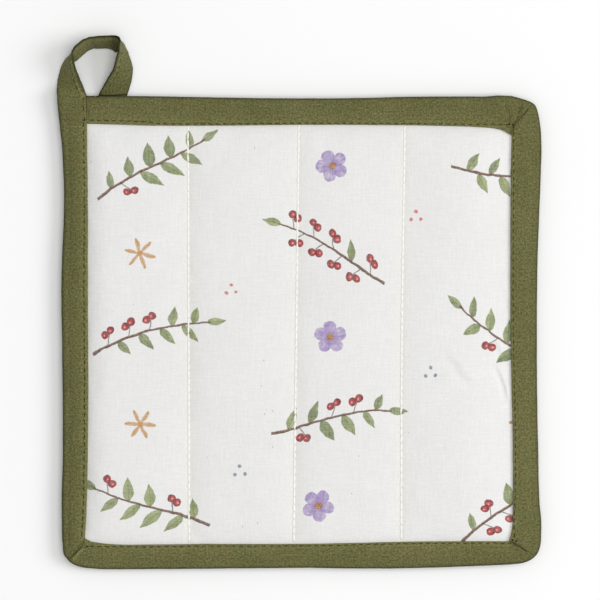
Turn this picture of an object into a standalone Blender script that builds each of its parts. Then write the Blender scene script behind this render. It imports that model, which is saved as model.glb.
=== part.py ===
"""Quilted pot holder, 20 cm square, with a bound edge and a hanging loop.

It lies on its back: +Z comes out of the patterned front and +Y points to the edge
that carries the loop. Tables are in millimetres, everything built from them in metres.
"""
import math

import bmesh
import bpy
from mathutils import Vector

MM = 0.001

# Heights above the surface it lies on
BINDING_BOTTOM = 2.1          # underside of the folded strip
BINDING_TOP = 6.7             # top of the folded strip
STRIP_THICKNESS = 1.1         # one limb of the strip, its raw edge turned under
CLEARANCE = 0.3               # between pieces that are sewn against each other
FRONT_CROWN = 3.4             # rise of the front above its sewn-down edge
BACK_CROWN = 4.6              # the same on the back, before it is pressed flat

# Quilting
CROWN_REACH = 15.0            # from the binding to the full height of the crown
SEAM_DEPTH = 1.8              # pull of a quilting seam at the front and at the back
SEAM_SPREAD = 4.6             # how fast the pull fades beside a seam
CHANNEL_COLUMNS = 12
PANEL_ROWS = 22

# Folded strip
FOLD_STEPS = 4                # a quarter of the rounded fold
CURVE_STEPS = 10              # points on a rounded corner, an even number
SIDE_RINGS = 14
MITRE_RINGS = (0.12, 0.25, 0.38, 0.50, 0.53, 0.65, 0.77, 0.89)   # places round a corner
OVERLAP_RINGS = (0.07, 0.16, 0.33, 0.50, 0.66, 0.82, 0.95, 0.985)
PANEL_INSET = 3.0             # from the fold to the cut edge of the panel inside it
CORNER_TRIM = 2.6             # more than that at the panel's trimmed corners
HIDDEN_EDGE = 0.35            # thinning of each face at the panel's cut edge
STITCH_PINCH = 0.25           # the strip is drawn down where it is sewn
STITCH_FROM_EDGE = 1.4
EDGE_SLOPE = 0.4              # fall of the strip from its sewn edge to the fold
PUFF_SHARE = 0.30             # where across the strip it stands highest
LEVEL_SHARE = 0.55            # and where it is back at its usual height
OVERLAP_STEP = 0.8            # end of the strip lying over its beginning
MITRE_STEP = 0.55             # height of a mitre fold
MITRE_SWELL = 0.35            # how far round the corner the strip swells up to it

# Hanging loop
LOOP_THICKNESS = 1.5
LOOP_START_THICKNESS = 3.6    # where the strip's two limbs come together past the panel
LOOP_TAPER_STATIONS = 5
LOOP_STATIONS = 50
LOOP_COLUMNS = 6
EDGE_THINNING = 0.25          # how much thinner the strip is at its two edges

SAME_POINT = 0.00001          # points closer than this, in metres, are one point

# Fold edge of each side of the binding: distance along the side, then its offset
TOP_FOLD = [  # x, y
    (-101.2, 86.6), (-71.0, 86.5), (-41.6, 86.0), (-16.4, 85.5),
    (17.2, 85.5), (50.8, 86.2), (80.2, 86.5), (101.2, 86.3)]
RIGHT_FOLD = [  # y, x
    (87.0, 101.0), (64.0, 101.5), (43.0, 100.9), (17.8, 100.0),
    (-15.8, 99.7), (-49.4, 100.0), (-83.0, 100.6), (-110.0, 101.3)]
BOTTOM_FOLD = [  # x, y
    (-99.4, -111.7), (-79.4, -111.9), (-41.6, -111.7), (0.4, -111.3),
    (34.0, -111.6), (67.6, -110.8), (90.7, -109.8), (101.2, -109.3)]
LEFT_FOLD = [  # y, x
    (86.6, -101.3), (76.6, -100.4), (64.0, -99.4), (43.0, -98.9), (17.8, -99.8),
    (1.0, -100.0), (-32.6, -99.5), (-66.2, -99.5), (-83.0, -99.9), (-111.5, -99.3)]

# Sewn edge of each side, where the panel comes out of the binding
TOP_SEWN = [  # x, y
    (-89.2, 75.2), (-62.6, 74.4), (-41.6, 74.3), (4.6, 74.7),
    (50.8, 74.4), (76.0, 73.7), (84.4, 72.6), (89.0, 70.2)]
RIGHT_SEWN = [  # y, x
    (70.2, 89.0), (50.0, 88.7), (1.0, 88.5), (-24.0, 88.8),
    (-58.0, 89.5), (-90.0, 89.5), (-99.7, 88.7)]
BOTTOM_SEWN = [  # x, y
    (-90.0, -98.8), (-87.0, -100.3), (-75.0, -101.4), (-41.6, -101.2),
    (4.6, -101.1), (46.6, -100.2), (80.2, -99.9), (88.7, -99.7)]
LEFT_SEWN = [  # y, x
    (75.2, -89.2), (43.0, -88.8), (1.0, -88.8), (-41.0, -88.6),
    (-83.0, -89.2), (-98.8, -90.0)]

# Quilting seams: x at the top, at mid height and at the bottom of the panel
SEAMS = [(-46.8, -46.6, -46.4), (-0.4, -1.5, -2.5), (44.1, 42.8, 42.6)]

# Soft waves of the front: centre x and y, direction, length, width, height
WAVES = [
    (74.0, -8.0, 60.0, 34.0, 7.0, 0.45),
    (66.0, -30.0, 48.0, 30.0, 8.0, -0.40),
    (72.0, 38.0, 100.0, 40.0, 9.0, 0.30),
    (20.0, 30.0, 80.0, 46.0, 9.0, -0.30),
    (24.0, -55.0, 105.0, 40.0, 10.0, 0.30),
    (-24.0, 12.0, 95.0, 52.0, 9.0, 0.28),
    (-22.0, -60.0, 70.0, 36.0, 9.0, -0.30),
    (-66.0, 40.0, 100.0, 44.0, 9.0, 0.30),
    (-70.0, -20.0, 82.0, 44.0, 9.0, -0.28),
    (-64.0, -72.0, 115.0, 34.0, 9.0, 0.26),
]

# Corners of the fold edge: x and y of the square corner, then how far its rounding
# reaches back along the side that runs into it and the side that leaves it, clockwise
FOLD_CORNERS = {
    "top_right": (99.6, 84.0, 3.5, 3.5),
    "bottom_right": (101.3, -109.4, 9.5, 11.8),
    "bottom_left": (-99.3, -111.9, 11.6, 11.8),
    "top_left": (-101.3, 86.6, 0.4, 0.4),
}

# The two long edges of the loop's strip, from the corner round to the end that is sewn
# under the top edge: the edge on the outside of the legs, then the one on their inside,
# which stands up in the arch
LOOP_EDGES = [  # outer x, y, z, inner x, y, z
    (-101.3, 87.0, 4.3, -89.1, 87.0, 4.3),
    (-101.6, 88.6, 3.6, -89.6, 88.6, 5.3),
    (-101.6, 90.7, 2.6, -90.5, 90.5, 7.0),
    (-101.2, 93.9, 1.6, -91.9, 93.2, 9.2),
    (-100.2, 97.1, 1.0, -93.0, 95.8, 10.7),
    (-98.6, 99.9, 0.7, -93.8, 98.5, 11.7),
    (-97.2, 102.5, 0.6, -94.4, 101.2, 12.2),
    (-95.3, 102.9, 0.6, -94.6, 103.9, 12.2),
    (-93.2, 103.2, 0.6, -93.0, 106.6, 11.9),
    (-90.5, 105.4, 0.6, -89.4, 109.3, 11.7),
    (-87.7, 107.2, 0.6, -86.2, 110.5, 11.8),
    (-84.6, 107.6, 0.6, -83.2, 110.9, 11.8),
    (-81.6, 107.5, 0.6, -80.2, 111.0, 11.7),
    (-79.3, 106.9, 0.6, -77.4, 110.7, 11.5),
    (-77.5, 105.8, 0.6, -75.8, 109.7, 11.5),
    (-76.0, 106.6, 0.6, -75.2, 108.3, 12.0),
    (-74.4, 108.2, 0.6, -75.5, 106.6, 12.3),
    (-72.9, 106.9, 0.6, -76.0, 105.0, 12.0),
    (-71.7, 104.3, 0.6, -76.5, 103.1, 11.3),
    (-70.7, 101.5, 0.6, -77.2, 100.5, 10.2),
    (-70.1, 98.4, 0.7, -78.4, 97.4, 8.5),
    (-70.3, 94.8, 0.8, -80.2, 94.4, 6.0),
    (-71.3, 91.0, 0.9, -82.4, 90.9, 3.2),
    (-72.4, 87.4, 1.05, -84.1, 87.4, 1.2),
    (-73.2, 83.9, 1.05, -84.8, 83.9, 1.05),
    (-73.4, 80.9, 1.05, -85.0, 80.9, 1.05),
]


def smooth_row(rows, at):
    """Read a table between its rows along a smooth curve; the first column is the place."""
    rows = sorted(rows)
    places = [row[0] for row in rows]
    at = min(max(at, places[0]), places[-1])
    last = len(rows) - 2
    k = next((i for i in range(last) if at <= places[i + 1]), last)
    span = places[k + 1] - places[k]
    t = (at - places[k]) / span

    def slope(i, column):
        low = max(i - 1, 0)
        high = min(i + 1, len(rows) - 1)
        return (rows[high][column] - rows[low][column]) / (places[high] - places[low])

    values = []
    for column in range(1, len(rows[0])):
        start = rows[k][column]
        end = rows[k + 1][column]
        rise = slope(k, column) * span
        fall = slope(k + 1, column) * span
        values.append(start * (2 * t**3 - 3 * t**2 + 1) + rise * (t**3 - 2 * t**2 + t)
                      + end * (3 * t**2 - 2 * t**3) + fall * (t**3 - t**2))
    return values


def offset_at(rows, at):
    return smooth_row(rows, at)[0]


def blend(a, b, t):
    return a + (b - a) * t


def eased(t):
    """0 to 1 with level ends, for t from 0 to 1."""
    return (1.0 - math.cos(math.pi * t)) / 2.0


def finish_object(name, mesh_builder, collection, material):
    mesh = bpy.data.meshes.new(name)
    mesh_builder.to_mesh(mesh)
    mesh_builder.free()
    mesh.materials.append(material)
    mesh.shade_smooth()
    made = bpy.data.objects.new(name, mesh)
    collection.objects.link(made)
    return made


def grid_of(columns, rows):
    """A flat grid with its corners at 0,0 and columns,rows."""
    builder = bmesh.new()
    bmesh.ops.create_grid(builder, x_segments=columns, y_segments=rows, size=0.5)
    for vert in builder.verts:
        vert.co.x = round((vert.co.x + 0.5) * columns)
        vert.co.y = round((vert.co.y + 0.5) * rows)
    return builder


def filled_sheet(columns, rows, place):
    """A closed body with an upper and a lower face; place(column, row, side) puts
    each point, with side 1 for the upper face and -1 for the lower one."""
    builder = grid_of(columns, rows)
    upper = list(builder.verts)
    copied = bmesh.ops.extrude_face_region(builder, geom=builder.faces[:], use_keep_orig=True)
    lower = [item for item in copied["geom"] if isinstance(item, bmesh.types.BMVert)]
    for side, verts in ((1, upper), (-1, lower)):
        for vert in verts:
            vert.co = place(round(vert.co.x), round(vert.co.y), side)
    bmesh.ops.recalc_face_normals(builder, faces=builder.faces[:])
    if builder.calc_volume(signed=True) < 0.0:
        bmesh.ops.reverse_faces(builder, faces=builder.faces[:])
    return builder


def cloth_material(name, colour, roughness):
    material = bpy.data.materials.new(name)
    material.use_nodes = True
    shader = material.node_tree.nodes["Principled BSDF"]
    shader.inputs["Base Color"].default_value = (*colour, 1.0)
    shader.inputs["Roughness"].default_value = roughness
    shader.inputs["Metallic"].default_value = 0.0
    return material


def column_places():
    """The panel's columns as (channel number, place in the channel), closer near seams;
    the channel numbers -1 and 4 are the edges hidden in the binding."""
    channels = len(SEAMS) + 1
    places = [(-1, 0.0)]
    for channel in range(channels):
        for step in range(CHANNEL_COLUMNS):
            places.append((channel, eased(step / CHANNEL_COLUMNS)))
    places.append((channels - 1, 1.0))
    places.append((channels, 0.0))
    return places


def seam_x(seam, height):
    """x of a quilting seam, with height from 0 at the bottom to 1 at the top."""
    top, middle, bottom = SEAMS[seam]
    return smooth_row([(0.0, bottom), (0.5, middle), (1.0, top)], height)[0]


def panel_x(place, y, height):
    channel, along = place
    if channel < 0:
        return offset_at(LEFT_FOLD, y) + PANEL_INSET
    if channel > len(SEAMS):
        return offset_at(RIGHT_FOLD, y) - PANEL_INSET
    lines = [offset_at(LEFT_SEWN, y)]
    lines += [seam_x(seam, height) for seam in range(len(SEAMS))]
    lines.append(offset_at(RIGHT_SEWN, y))
    return blend(lines[channel], lines[channel + 1], along)


def wave_height(x, y):
    total = 0.0
    for centre_x, centre_y, direction, length, width, height in WAVES:
        turn = math.radians(direction)
        along = (x - centre_x) * math.cos(turn) + (y - centre_y) * math.sin(turn)
        across = (y - centre_y) * math.cos(turn) - (x - centre_x) * math.sin(turn)
        total += height * math.exp(-(2 * along / length)**2 - (across / width)**2)
    return total


def panel_height(x, y, height, side):
    """Height of the front (side 1) or the back (side -1) of the filled panel."""
    from_edge = min(x - offset_at(LEFT_SEWN, y), offset_at(RIGHT_SEWN, y) - x,
                    y - offset_at(BOTTOM_SEWN, x), offset_at(TOP_SEWN, x) - y)
    reach = min(max(from_edge / CROWN_REACH, 0.0), 1.0)
    crown = math.sin(reach * math.pi / 2.0)
    from_seam = min(abs(x - seam_x(seam, height)) for seam in range(len(SEAMS)))
    pull = SEAM_DEPTH * math.exp(-from_seam / SEAM_SPREAD)
    covered = STRIP_THICKNESS + STITCH_PINCH + CLEARANCE
    if from_edge < -STITCH_FROM_EDGE:
        covered += HIDDEN_EDGE
    if side > 0:
        return BINDING_TOP - covered + crown * (FRONT_CROWN - pull + wave_height(x, y))
    return max(BINDING_BOTTOM + covered - crown * (BACK_CROWN - pull), 0.0)


def panel_point(columns, column, row, side):
    last_row = PANEL_ROWS + 2
    height = eased(min(max((row - 1) / PANEL_ROWS, 0.0), 1.0))
    x = panel_x(columns[column], 0.0, height)
    if row == 0:
        y = offset_at(BOTTOM_FOLD, x) + PANEL_INSET
    elif row == last_row:
        y = offset_at(TOP_FOLD, x) - PANEL_INSET
    else:
        y = blend(offset_at(BOTTOM_SEWN, x), offset_at(TOP_SEWN, x), height)
    x = panel_x(columns[column], y, height)
    if row in (0, last_row) and column in (0, len(columns) - 1):
        x -= math.copysign(CORNER_TRIM, x)
        y -= math.copysign(CORNER_TRIM, y)
    return Vector((x, y, panel_height(x, y, height, side))) * MM


def make_panel(collection, material):
    columns = column_places()

    def place(column, row, side):
        return panel_point(columns, column, row, side)

    builder = filled_sheet(len(columns) - 1, PANEL_ROWS + 2, place)
    return finish_object("quilted_pad", builder, collection, material)


def rounded_corner(start, corner, end, into, out):
    """Points from start to end round a corner, rounded over the given reaches."""
    curve_start = corner + (start - corner) * min(into / (start - corner).length, 1.0)
    curve_end = corner + (end - corner) * min(out / (end - corner).length, 1.0)
    points = [start]
    for step in range(CURVE_STEPS + 1):
        t = step / CURVE_STEPS
        points.append(curve_start * (1 - t)**2 + corner * 2 * t * (1 - t) + curve_end * t**2)
    return points + [end]


def points_along(points, places):
    """Points on a rounded corner; a place of 0.5 is its middle, 0 and 1 are its ends."""
    lengths = [0.0]
    for a, b in zip(points, points[1:]):
        lengths.append(lengths[-1] + (b - a).length)
    middle = lengths[len(points) // 2]
    found = []
    for place in places:
        if place < 0.5:
            wanted = middle * place * 2.0
        else:
            wanted = blend(middle, lengths[-1], place * 2.0 - 1.0)
        k = next(i for i in range(1, len(lengths)) if lengths[i] >= wanted)
        t = (wanted - lengths[k - 1]) / max(lengths[k] - lengths[k - 1], SAME_POINT)
        found.append(points[k - 1].lerp(points[k], t))
    return found


def side_rings(sewn, fold, start, end, upright):
    """Rings straight across one side of the strip, as (sewn point, fold point, lift)."""
    rings = []
    for step in range(SIDE_RINGS + 1):
        at = blend(start, end, eased(step / SIDE_RINGS))
        inner = (at, offset_at(sewn, at))
        outer = (at, offset_at(fold, at))
        if upright:
            inner = inner[::-1]
            outer = outer[::-1]
        rings.append((Vector(inner), Vector(outer), 0.0))
    return rings


def corner_rings(name, before, after, places, lift_at):
    """A fan of rings between the last ring of one side and the first of the next."""
    inner = (before[0] + after[0]) / 2.0
    x, y, into, out = FOLD_CORNERS[name]
    outline = rounded_corner(before[1], Vector((x, y)), after[1], into, out)
    outer_points = points_along(outline, places)
    return [(inner, outer, lift_at(place)) for outer, place in zip(outer_points, places)]


def mitre_lift(place):
    """The strip swells up to the fold line, half way round a corner, and drops behind it."""
    if place > 0.5:
        return 0.0
    return MITRE_STEP * max(1.0 - (0.5 - place) / MITRE_SWELL, 0.0)


def mitre_lift_reversed(place):
    """The same with the fold on the other side of the mitre."""
    step_width = MITRE_RINGS[4] - MITRE_RINGS[3]
    return mitre_lift(1.0 - place + step_width)


def overlap_lift(place):
    return OVERLAP_STEP * min(place / OVERLAP_RINGS[1], 1.0)


def binding_rings():
    """Rings clockwise from the top left corner, round all four sides."""
    top = side_rings(TOP_SEWN, TOP_FOLD, TOP_SEWN[0][0], TOP_SEWN[-1][0], False)
    right = side_rings(RIGHT_SEWN, RIGHT_FOLD, RIGHT_SEWN[0][0], RIGHT_SEWN[-1][0], True)
    bottom = side_rings(BOTTOM_SEWN, BOTTOM_FOLD, BOTTOM_SEWN[-1][0], BOTTOM_SEWN[0][0], False)
    left = side_rings(LEFT_SEWN, LEFT_FOLD, LEFT_SEWN[-1][0], LEFT_SEWN[0][0], True)
    rings = top
    rings += corner_rings("top_right", top[-1], right[0], MITRE_RINGS, mitre_lift)
    rings += right
    rings += corner_rings("bottom_right", right[-1], bottom[0], MITRE_RINGS, mitre_lift_reversed)
    rings += bottom
    rings += corner_rings("bottom_left", bottom[-1], left[0], MITRE_RINGS, mitre_lift)
    rings += left
    rings += corner_rings("top_left", left[-1], top[0], OVERLAP_RINGS, overlap_lift)
    return rings


def strip_profile():
    """The folded strip's section as (share of the width, distance in from the fold,
    height, share of the lift), from the sewn edge over the fold to the sewn edge behind."""
    middle = (BINDING_TOP + BINDING_BOTTOM) / 2.0
    half = (BINDING_TOP - BINDING_BOTTOM) / 2.0
    front = [
        (0.0, 0.0, half, 0.0),
        (0.0, STITCH_FROM_EDGE, half - STITCH_PINCH, 1.0),
        (PUFF_SHARE, 0.0, half + STITCH_PINCH / 4.0, 1.0),
        (LEVEL_SHARE, 0.0, half, 1.0),
    ]
    for step in range(FOLD_STEPS + 1):
        turn = step / FOLD_STEPS * math.pi / 2.0
        in_from_fold = half * (1.0 - math.sin(turn))
        height = (half - EDGE_SLOPE) * math.cos(turn)
        front.append((1.0, -in_from_fold, height, math.cos(turn)))
    back = [(share, shift, -height, 0.0) for share, shift, height, lifted in front[-2::-1]]
    return [(share, shift, middle + height, lifted) for share, shift, height, lifted in front + back]


def make_binding(collection, material):
    rings = binding_rings()
    profile = strip_profile()
    builder = grid_of(len(rings), len(profile) - 1)
    for vert in builder.verts:
        inner, outer, lift = rings[round(vert.co.x) % len(rings)]
        share, shift, height, lifted = profile[round(vert.co.y)]
        across = outer - inner
        point = inner + across * share + across.normalized() * shift
        vert.co = Vector((point.x, point.y, height + lift * lifted)) * MM
    bmesh.ops.remove_doubles(builder, verts=builder.verts[:], dist=SAME_POINT)
    bmesh.ops.recalc_face_normals(builder, faces=builder.faces[:])
    highest = max(builder.faces, key=lambda face: face.calc_center_median().z)
    if highest.normal.z < 0.0:
        bmesh.ops.reverse_faces(builder, faces=builder.faces[:])
    made = finish_object("binding", builder, collection, material)
    cloth = made.modifiers.new("Cloth thickness", "SOLIDIFY")
    cloth.thickness = STRIP_THICKNESS * MM
    cloth.offset = -1.0
    return made


def loop_edges(station):
    """The strip's outer and inner edge at a station, from 0 to LOOP_STATIONS."""
    rows = [(index, *row) for index, row in enumerate(LOOP_EDGES)]
    values = smooth_row(rows, station / LOOP_STATIONS * (len(rows) - 1))
    return Vector(values[:3]), Vector(values[3:])


def loop_point(column, station, side):
    outer, inner = loop_edges(station)
    before = sum(loop_edges(max(station - 0.5, 0)), Vector())
    after = sum(loop_edges(min(station + 0.5, LOOP_STATIONS)), Vector())
    facing = (inner - outer).cross(after - before).normalized()
    place = column / LOOP_COLUMNS
    from_start = min(station / LOOP_TAPER_STATIONS, 1.0)
    thickness = blend(LOOP_START_THICKNESS, LOOP_THICKNESS, math.sin(from_start * math.pi / 2.0))
    thinning = EDGE_THINNING * abs(2.0 * place - 1.0)**4
    depth = thickness / 2.0 * (1.0 - thinning)
    return (outer.lerp(inner, place) + facing * side * depth) * MM


def make_loop(collection, material):
    builder = filled_sheet(LOOP_COLUMNS, LOOP_STATIONS, loop_point)
    return finish_object("hanging_loop", builder, collection, material)


def main():
    for existing in list(bpy.data.objects):
        bpy.data.objects.remove(existing, do_unlink=True)
    collection = bpy.data.collections.new("Pot holder")
    bpy.context.scene.collection.children.link(collection)
    natural = cloth_material("Natural cotton", (0.83, 0.82, 0.80), 0.92)
    olive = cloth_material("Olive cotton", (0.145, 0.140, 0.058), 0.9)
    make_panel(collection, natural)
    make_binding(collection, olive)
    make_loop(collection, olive)


main()
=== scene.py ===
import math

import bmesh
import bpy
import numpy as np
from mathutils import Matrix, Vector


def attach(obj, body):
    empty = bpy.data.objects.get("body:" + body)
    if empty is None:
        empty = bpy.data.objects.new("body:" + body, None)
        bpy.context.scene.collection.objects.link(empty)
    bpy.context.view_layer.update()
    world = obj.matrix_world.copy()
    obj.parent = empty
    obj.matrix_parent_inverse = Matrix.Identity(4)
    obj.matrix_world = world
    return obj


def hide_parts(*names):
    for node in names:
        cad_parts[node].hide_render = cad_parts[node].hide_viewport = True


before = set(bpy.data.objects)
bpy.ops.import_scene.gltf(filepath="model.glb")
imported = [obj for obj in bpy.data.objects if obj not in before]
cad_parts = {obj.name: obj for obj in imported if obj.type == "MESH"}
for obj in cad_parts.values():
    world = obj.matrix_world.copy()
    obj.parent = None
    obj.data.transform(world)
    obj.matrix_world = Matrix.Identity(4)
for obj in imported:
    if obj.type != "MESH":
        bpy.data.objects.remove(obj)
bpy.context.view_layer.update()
mm = 0.001
stitchPitch = 3.1  # from one stitch to the next, in millimetres

# Edges of the bound square in millimetres: place along the side, then the offset.
# A fold is the outside edge of the binding, a sewn edge is where the panel comes out of it.
edgeTables = {
    "topFold": [(-101.2, 86.9), (-71.0, 86.9), (-41.6, 86.4), (-16.4, 86.0), (17.2, 85.9),
                (50.8, 86.6), (75.8, 86.65), (79.5, 86.75), (83.0, 87.05), (89.0, 86.9)],
    "rightFold": [(87.0, 101.0), (70.2, 101.45), (64.0, 101.65), (43.0, 100.9), (17.8, 100.0), (-15.8, 99.7),
                  (-49.4, 100.0), (-83.0, 100.8), (-91.6, 101.5), (-99.9, 101.5)],
    "bottomFold": [(-90.0, -111.35), (-84.0, -111.85), (-79.4, -111.9), (-41.6, -111.7), (0.4, -111.3),
                   (34.0, -111.6), (67.6, -110.8), (87.9, -109.9)],
    "leftFold": [(86.6, -101.7), (81.8, -101.5), (76.8, -100.9), (71.8, -100.4), (64.0, -99.6),
                 (43.0, -98.9), (17.8, -99.8), (1.0, -100.0), (-32.6, -99.5), (-66.2, -99.5),
                 (-83.0, -99.9), (-98.8, -99.75)],
    "topSewn": [(-89.2, 75.2), (-62.6, 74.4), (-41.6, 74.3), (4.6, 74.7),
                (50.8, 74.4), (76.0, 73.7), (84.4, 72.6), (89.0, 70.2)],
    "rightSewn": [(70.2, 89.0), (50.0, 88.7), (1.0, 88.5), (-24.0, 88.8),
                  (-58.0, 89.5), (-90.0, 89.5), (-94.0, 89.2), (-97.0, 88.7), (-99.9, 87.9)],
    "bottomSewn": [(-90.0, -98.8), (-87.0, -100.3), (-75.0, -101.4), (-41.6, -101.2),
                   (4.6, -101.1), (46.6, -100.2), (80.2, -100.0), (87.9, -100.1)],
    "leftSewn": [(75.2, -89.2), (43.0, -88.8), (1.0, -88.8), (-41.0, -88.6),
                 (-83.0, -89.2), (-98.8, -90.0)],
}


def smoothTable(rows):
    # reads a table along a smooth curve, its first column being the place
    rows = np.array(sorted(rows), float)
    places, values = rows[:, 0], rows[:, 1:]
    last = len(rows) - 1
    low = np.maximum(np.arange(last + 1) - 1, 0)
    high = np.minimum(np.arange(last + 1) + 1, last)
    slopes = (values[high] - values[low]) / (places[high] - places[low])[:, None]

    def read(at):
        at = np.clip(np.asarray(at, float), places[0], places[-1])
        k = np.clip(np.searchsorted(places, at, side="right") - 1, 0, last - 1)
        span = (places[k + 1] - places[k])[..., None]
        t = (at - places[k])[..., None] / span
        return (values[k] * (2 * t**3 - 3 * t**2 + 1) + slopes[k] * span * (t**3 - 2 * t**2 + t)
                + values[k + 1] * (3 * t**2 - 2 * t**3) + slopes[k + 1] * span * (t**3 - t**2))

    return read


edgeReaders = {name: smoothTable(rows) for name, rows in edgeTables.items()}


def edge(name, at):
    return edgeReaders[name](at)[..., 0]


def blend(a, b, t):
    return a + (b - a) * t


def eased(t):
    t = np.clip(t, 0.0, 1.0)
    return t * t * (3 - 2 * t)


def meshObject(name, points, faces, uvs=None, tones=None):
    # points in millimetres; uvs give one pair for each corner of each face, in metres,
    # and tones give the painted light and shade at each point
    mesh = bpy.data.meshes.new(name)
    mesh.from_pydata((np.asarray(points) * mm).tolist(), [], faces)
    if uvs is not None:
        layer = mesh.uv_layers.new(name="ClothUV")
        layer.data.foreach_set("uv", np.asarray(uvs, np.float32).ravel())
    if tones is not None:
        layer = mesh.attributes.new("dyeTone", "FLOAT", "POINT")
        layer.data.foreach_set("value", np.asarray(tones, np.float32).ravel())
    mesh.validate()
    mesh.shade_smooth()
    made = bpy.data.objects.new(name, mesh)
    bpy.context.scene.collection.objects.link(made)
    return made


def lineObject(name, lines):
    # guide lines in millimetres, which the trees of nodes below follow
    curve = bpy.data.curves.new(name, "CURVE")
    curve.dimensions = "3D"
    for line in lines:
        spline = curve.splines.new("POLY")
        spline.points.add(len(line) - 1)
        for point, place in zip(spline.points, line):
            point.co = (*(np.asarray(place) * mm), 1.0)
    made = bpy.data.objects.new(name, curve)
    bpy.context.scene.collection.objects.link(made)
    return made


def bandFaces(number, cloth, closed):
    # faces between neighbouring rings of numbered points, and the unrolled place of each corner;
    # cloth has one column more than number, where the weave comes round to its start
    faces, uvs = [], []
    rings, around = number.shape
    for i in range(rings if closed else rings - 1):
        j = (i + 1) % rings
        for k in range(around):
            m = (k + 1) % around
            faces.append((int(number[i, k]), int(number[j, k]), int(number[j, m]), int(number[i, m])))
            uvs += [cloth[i, k], cloth[j, k], cloth[j, k + 1], cloth[i, k + 1]]
    return faces, uvs


def makeReal(made):
    # the evaluated shape becomes the piece's own plain mesh
    bpy.context.view_layer.update()
    graph = bpy.context.evaluated_depsgraph_get()
    mesh = bpy.data.meshes.new_from_object(made.evaluated_get(graph))
    name, old = made.name, made.data
    if made.type == "MESH":
        made.modifiers.clear()
        made.data = mesh
        bpy.data.meshes.remove(old)
    else:
        bpy.data.objects.remove(made)
        made = bpy.data.objects.new(name, mesh)
        bpy.context.scene.collection.objects.link(made)
    mesh.name = name
    return made


# Nodes, for the trees that sew and for the materials
def addNode(tree, kind, inputs=None, **settings):
    node = tree.nodes.new(kind)
    for key, value in settings.items():
        setattr(node, key, value)
    for key, value in (inputs or {}).items():
        value = value.socket if isinstance(value, Field) else value
        if isinstance(value, bpy.types.NodeSocket):
            tree.links.new(value, node.inputs[key])
        else:
            node.inputs[key].default_value = value
    return node


def mathStep(operation):
    return lambda field, *others: field.made(operation, *others)


class Field:
    # a number that varies over a surface, so that nodes can be written as plain sums
    def __init__(self, tree, socket):
        self.tree, self.socket = tree, socket

    def made(self, operation, *others):
        inputs = dict(enumerate((self, *others)))
        return Field(self.tree, addNode(self.tree, "ShaderNodeMath", inputs, operation=operation).outputs[0])

    __add__, __sub__ = mathStep("ADD"), mathStep("SUBTRACT")
    __mul__, __truediv__ = mathStep("MULTIPLY"), mathStep("DIVIDE")
    under, over, most = mathStep("LESS_THAN"), mathStep("GREATER_THAN"), mathStep("MAXIMUM")
    size, floor = mathStep("ABSOLUTE"), mathStep("FLOOR")
    sine, cosine, angleFrom = mathStep("SINE"), mathStep("COSINE"), mathStep("ARCTAN2")
    power, exponent = mathStep("POWER"), mathStep("EXPONENT")

    def spread(self, low, high, fromLow=0.0, fromHigh=1.0, smooth=False):
        return Field(self.tree, addNode(self.tree, "ShaderNodeMapRange", {
            "Value": self, "From Min": fromLow, "From Max": fromHigh, "To Min": low, "To Max": high},
            interpolation_type="SMOOTHSTEP" if smooth else "LINEAR").outputs[0])


def vectorCalc(tree, operation, a, b=None, scale=None):
    inputs = {key: value for key, value in ((0, a), (1, b), ("Scale", scale)) if value is not None}
    return addNode(tree, "ShaderNodeVectorMath", inputs, operation=operation).outputs[0]


def joined(tree, x, y, z):
    return addNode(tree, "ShaderNodeCombineXYZ", {"X": x, "Y": y, "Z": z}).outputs[0]


def newTree(name, inputs):
    # inputs gives the labels of the sockets of each kind
    tree = bpy.data.node_groups.new(name, "GeometryNodeTree")
    tree.interface.new_socket("Geometry", in_out="INPUT", socket_type="NodeSocketGeometry")
    for kind, labels in inputs.items():
        for label in labels:
            tree.interface.new_socket(label, in_out="INPUT", socket_type="NodeSocket" + kind)
    tree.interface.new_socket("Geometry", in_out="OUTPUT", socket_type="NodeSocketGeometry")
    return tree, addNode(tree, "NodeGroupInput").outputs


def endTree(tree, geometry, material):
    smooth = addNode(tree, "GeometryNodeSetShadeSmooth", {"Geometry": geometry})
    real = addNode(tree, "GeometryNodeRealizeInstances", {"Geometry": smooth.outputs[0]})
    finished = addNode(tree, "GeometryNodeSetMaterial", {"Geometry": real.outputs[0], "Material": material})
    addNode(tree, "NodeGroupOutput", {0: finished.outputs[0]})
    return tree


def runTree(made, tree, values):
    modifier = made.modifiers.new(tree.name, "NODES")
    modifier.node_group = tree
    sockets = {item.name: item.identifier for item in tree.interface.items_tree if item.in_out == "INPUT"}
    for label, value in values.items():
        modifier[sockets[label]] = value
    return makeReal(made)


def shownSockets(sockets, labels):
    # a node has sockets of the same name for its other settings, which are not in use
    return [socket for socket in sockets if socket.enabled and socket.name in labels]


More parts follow.
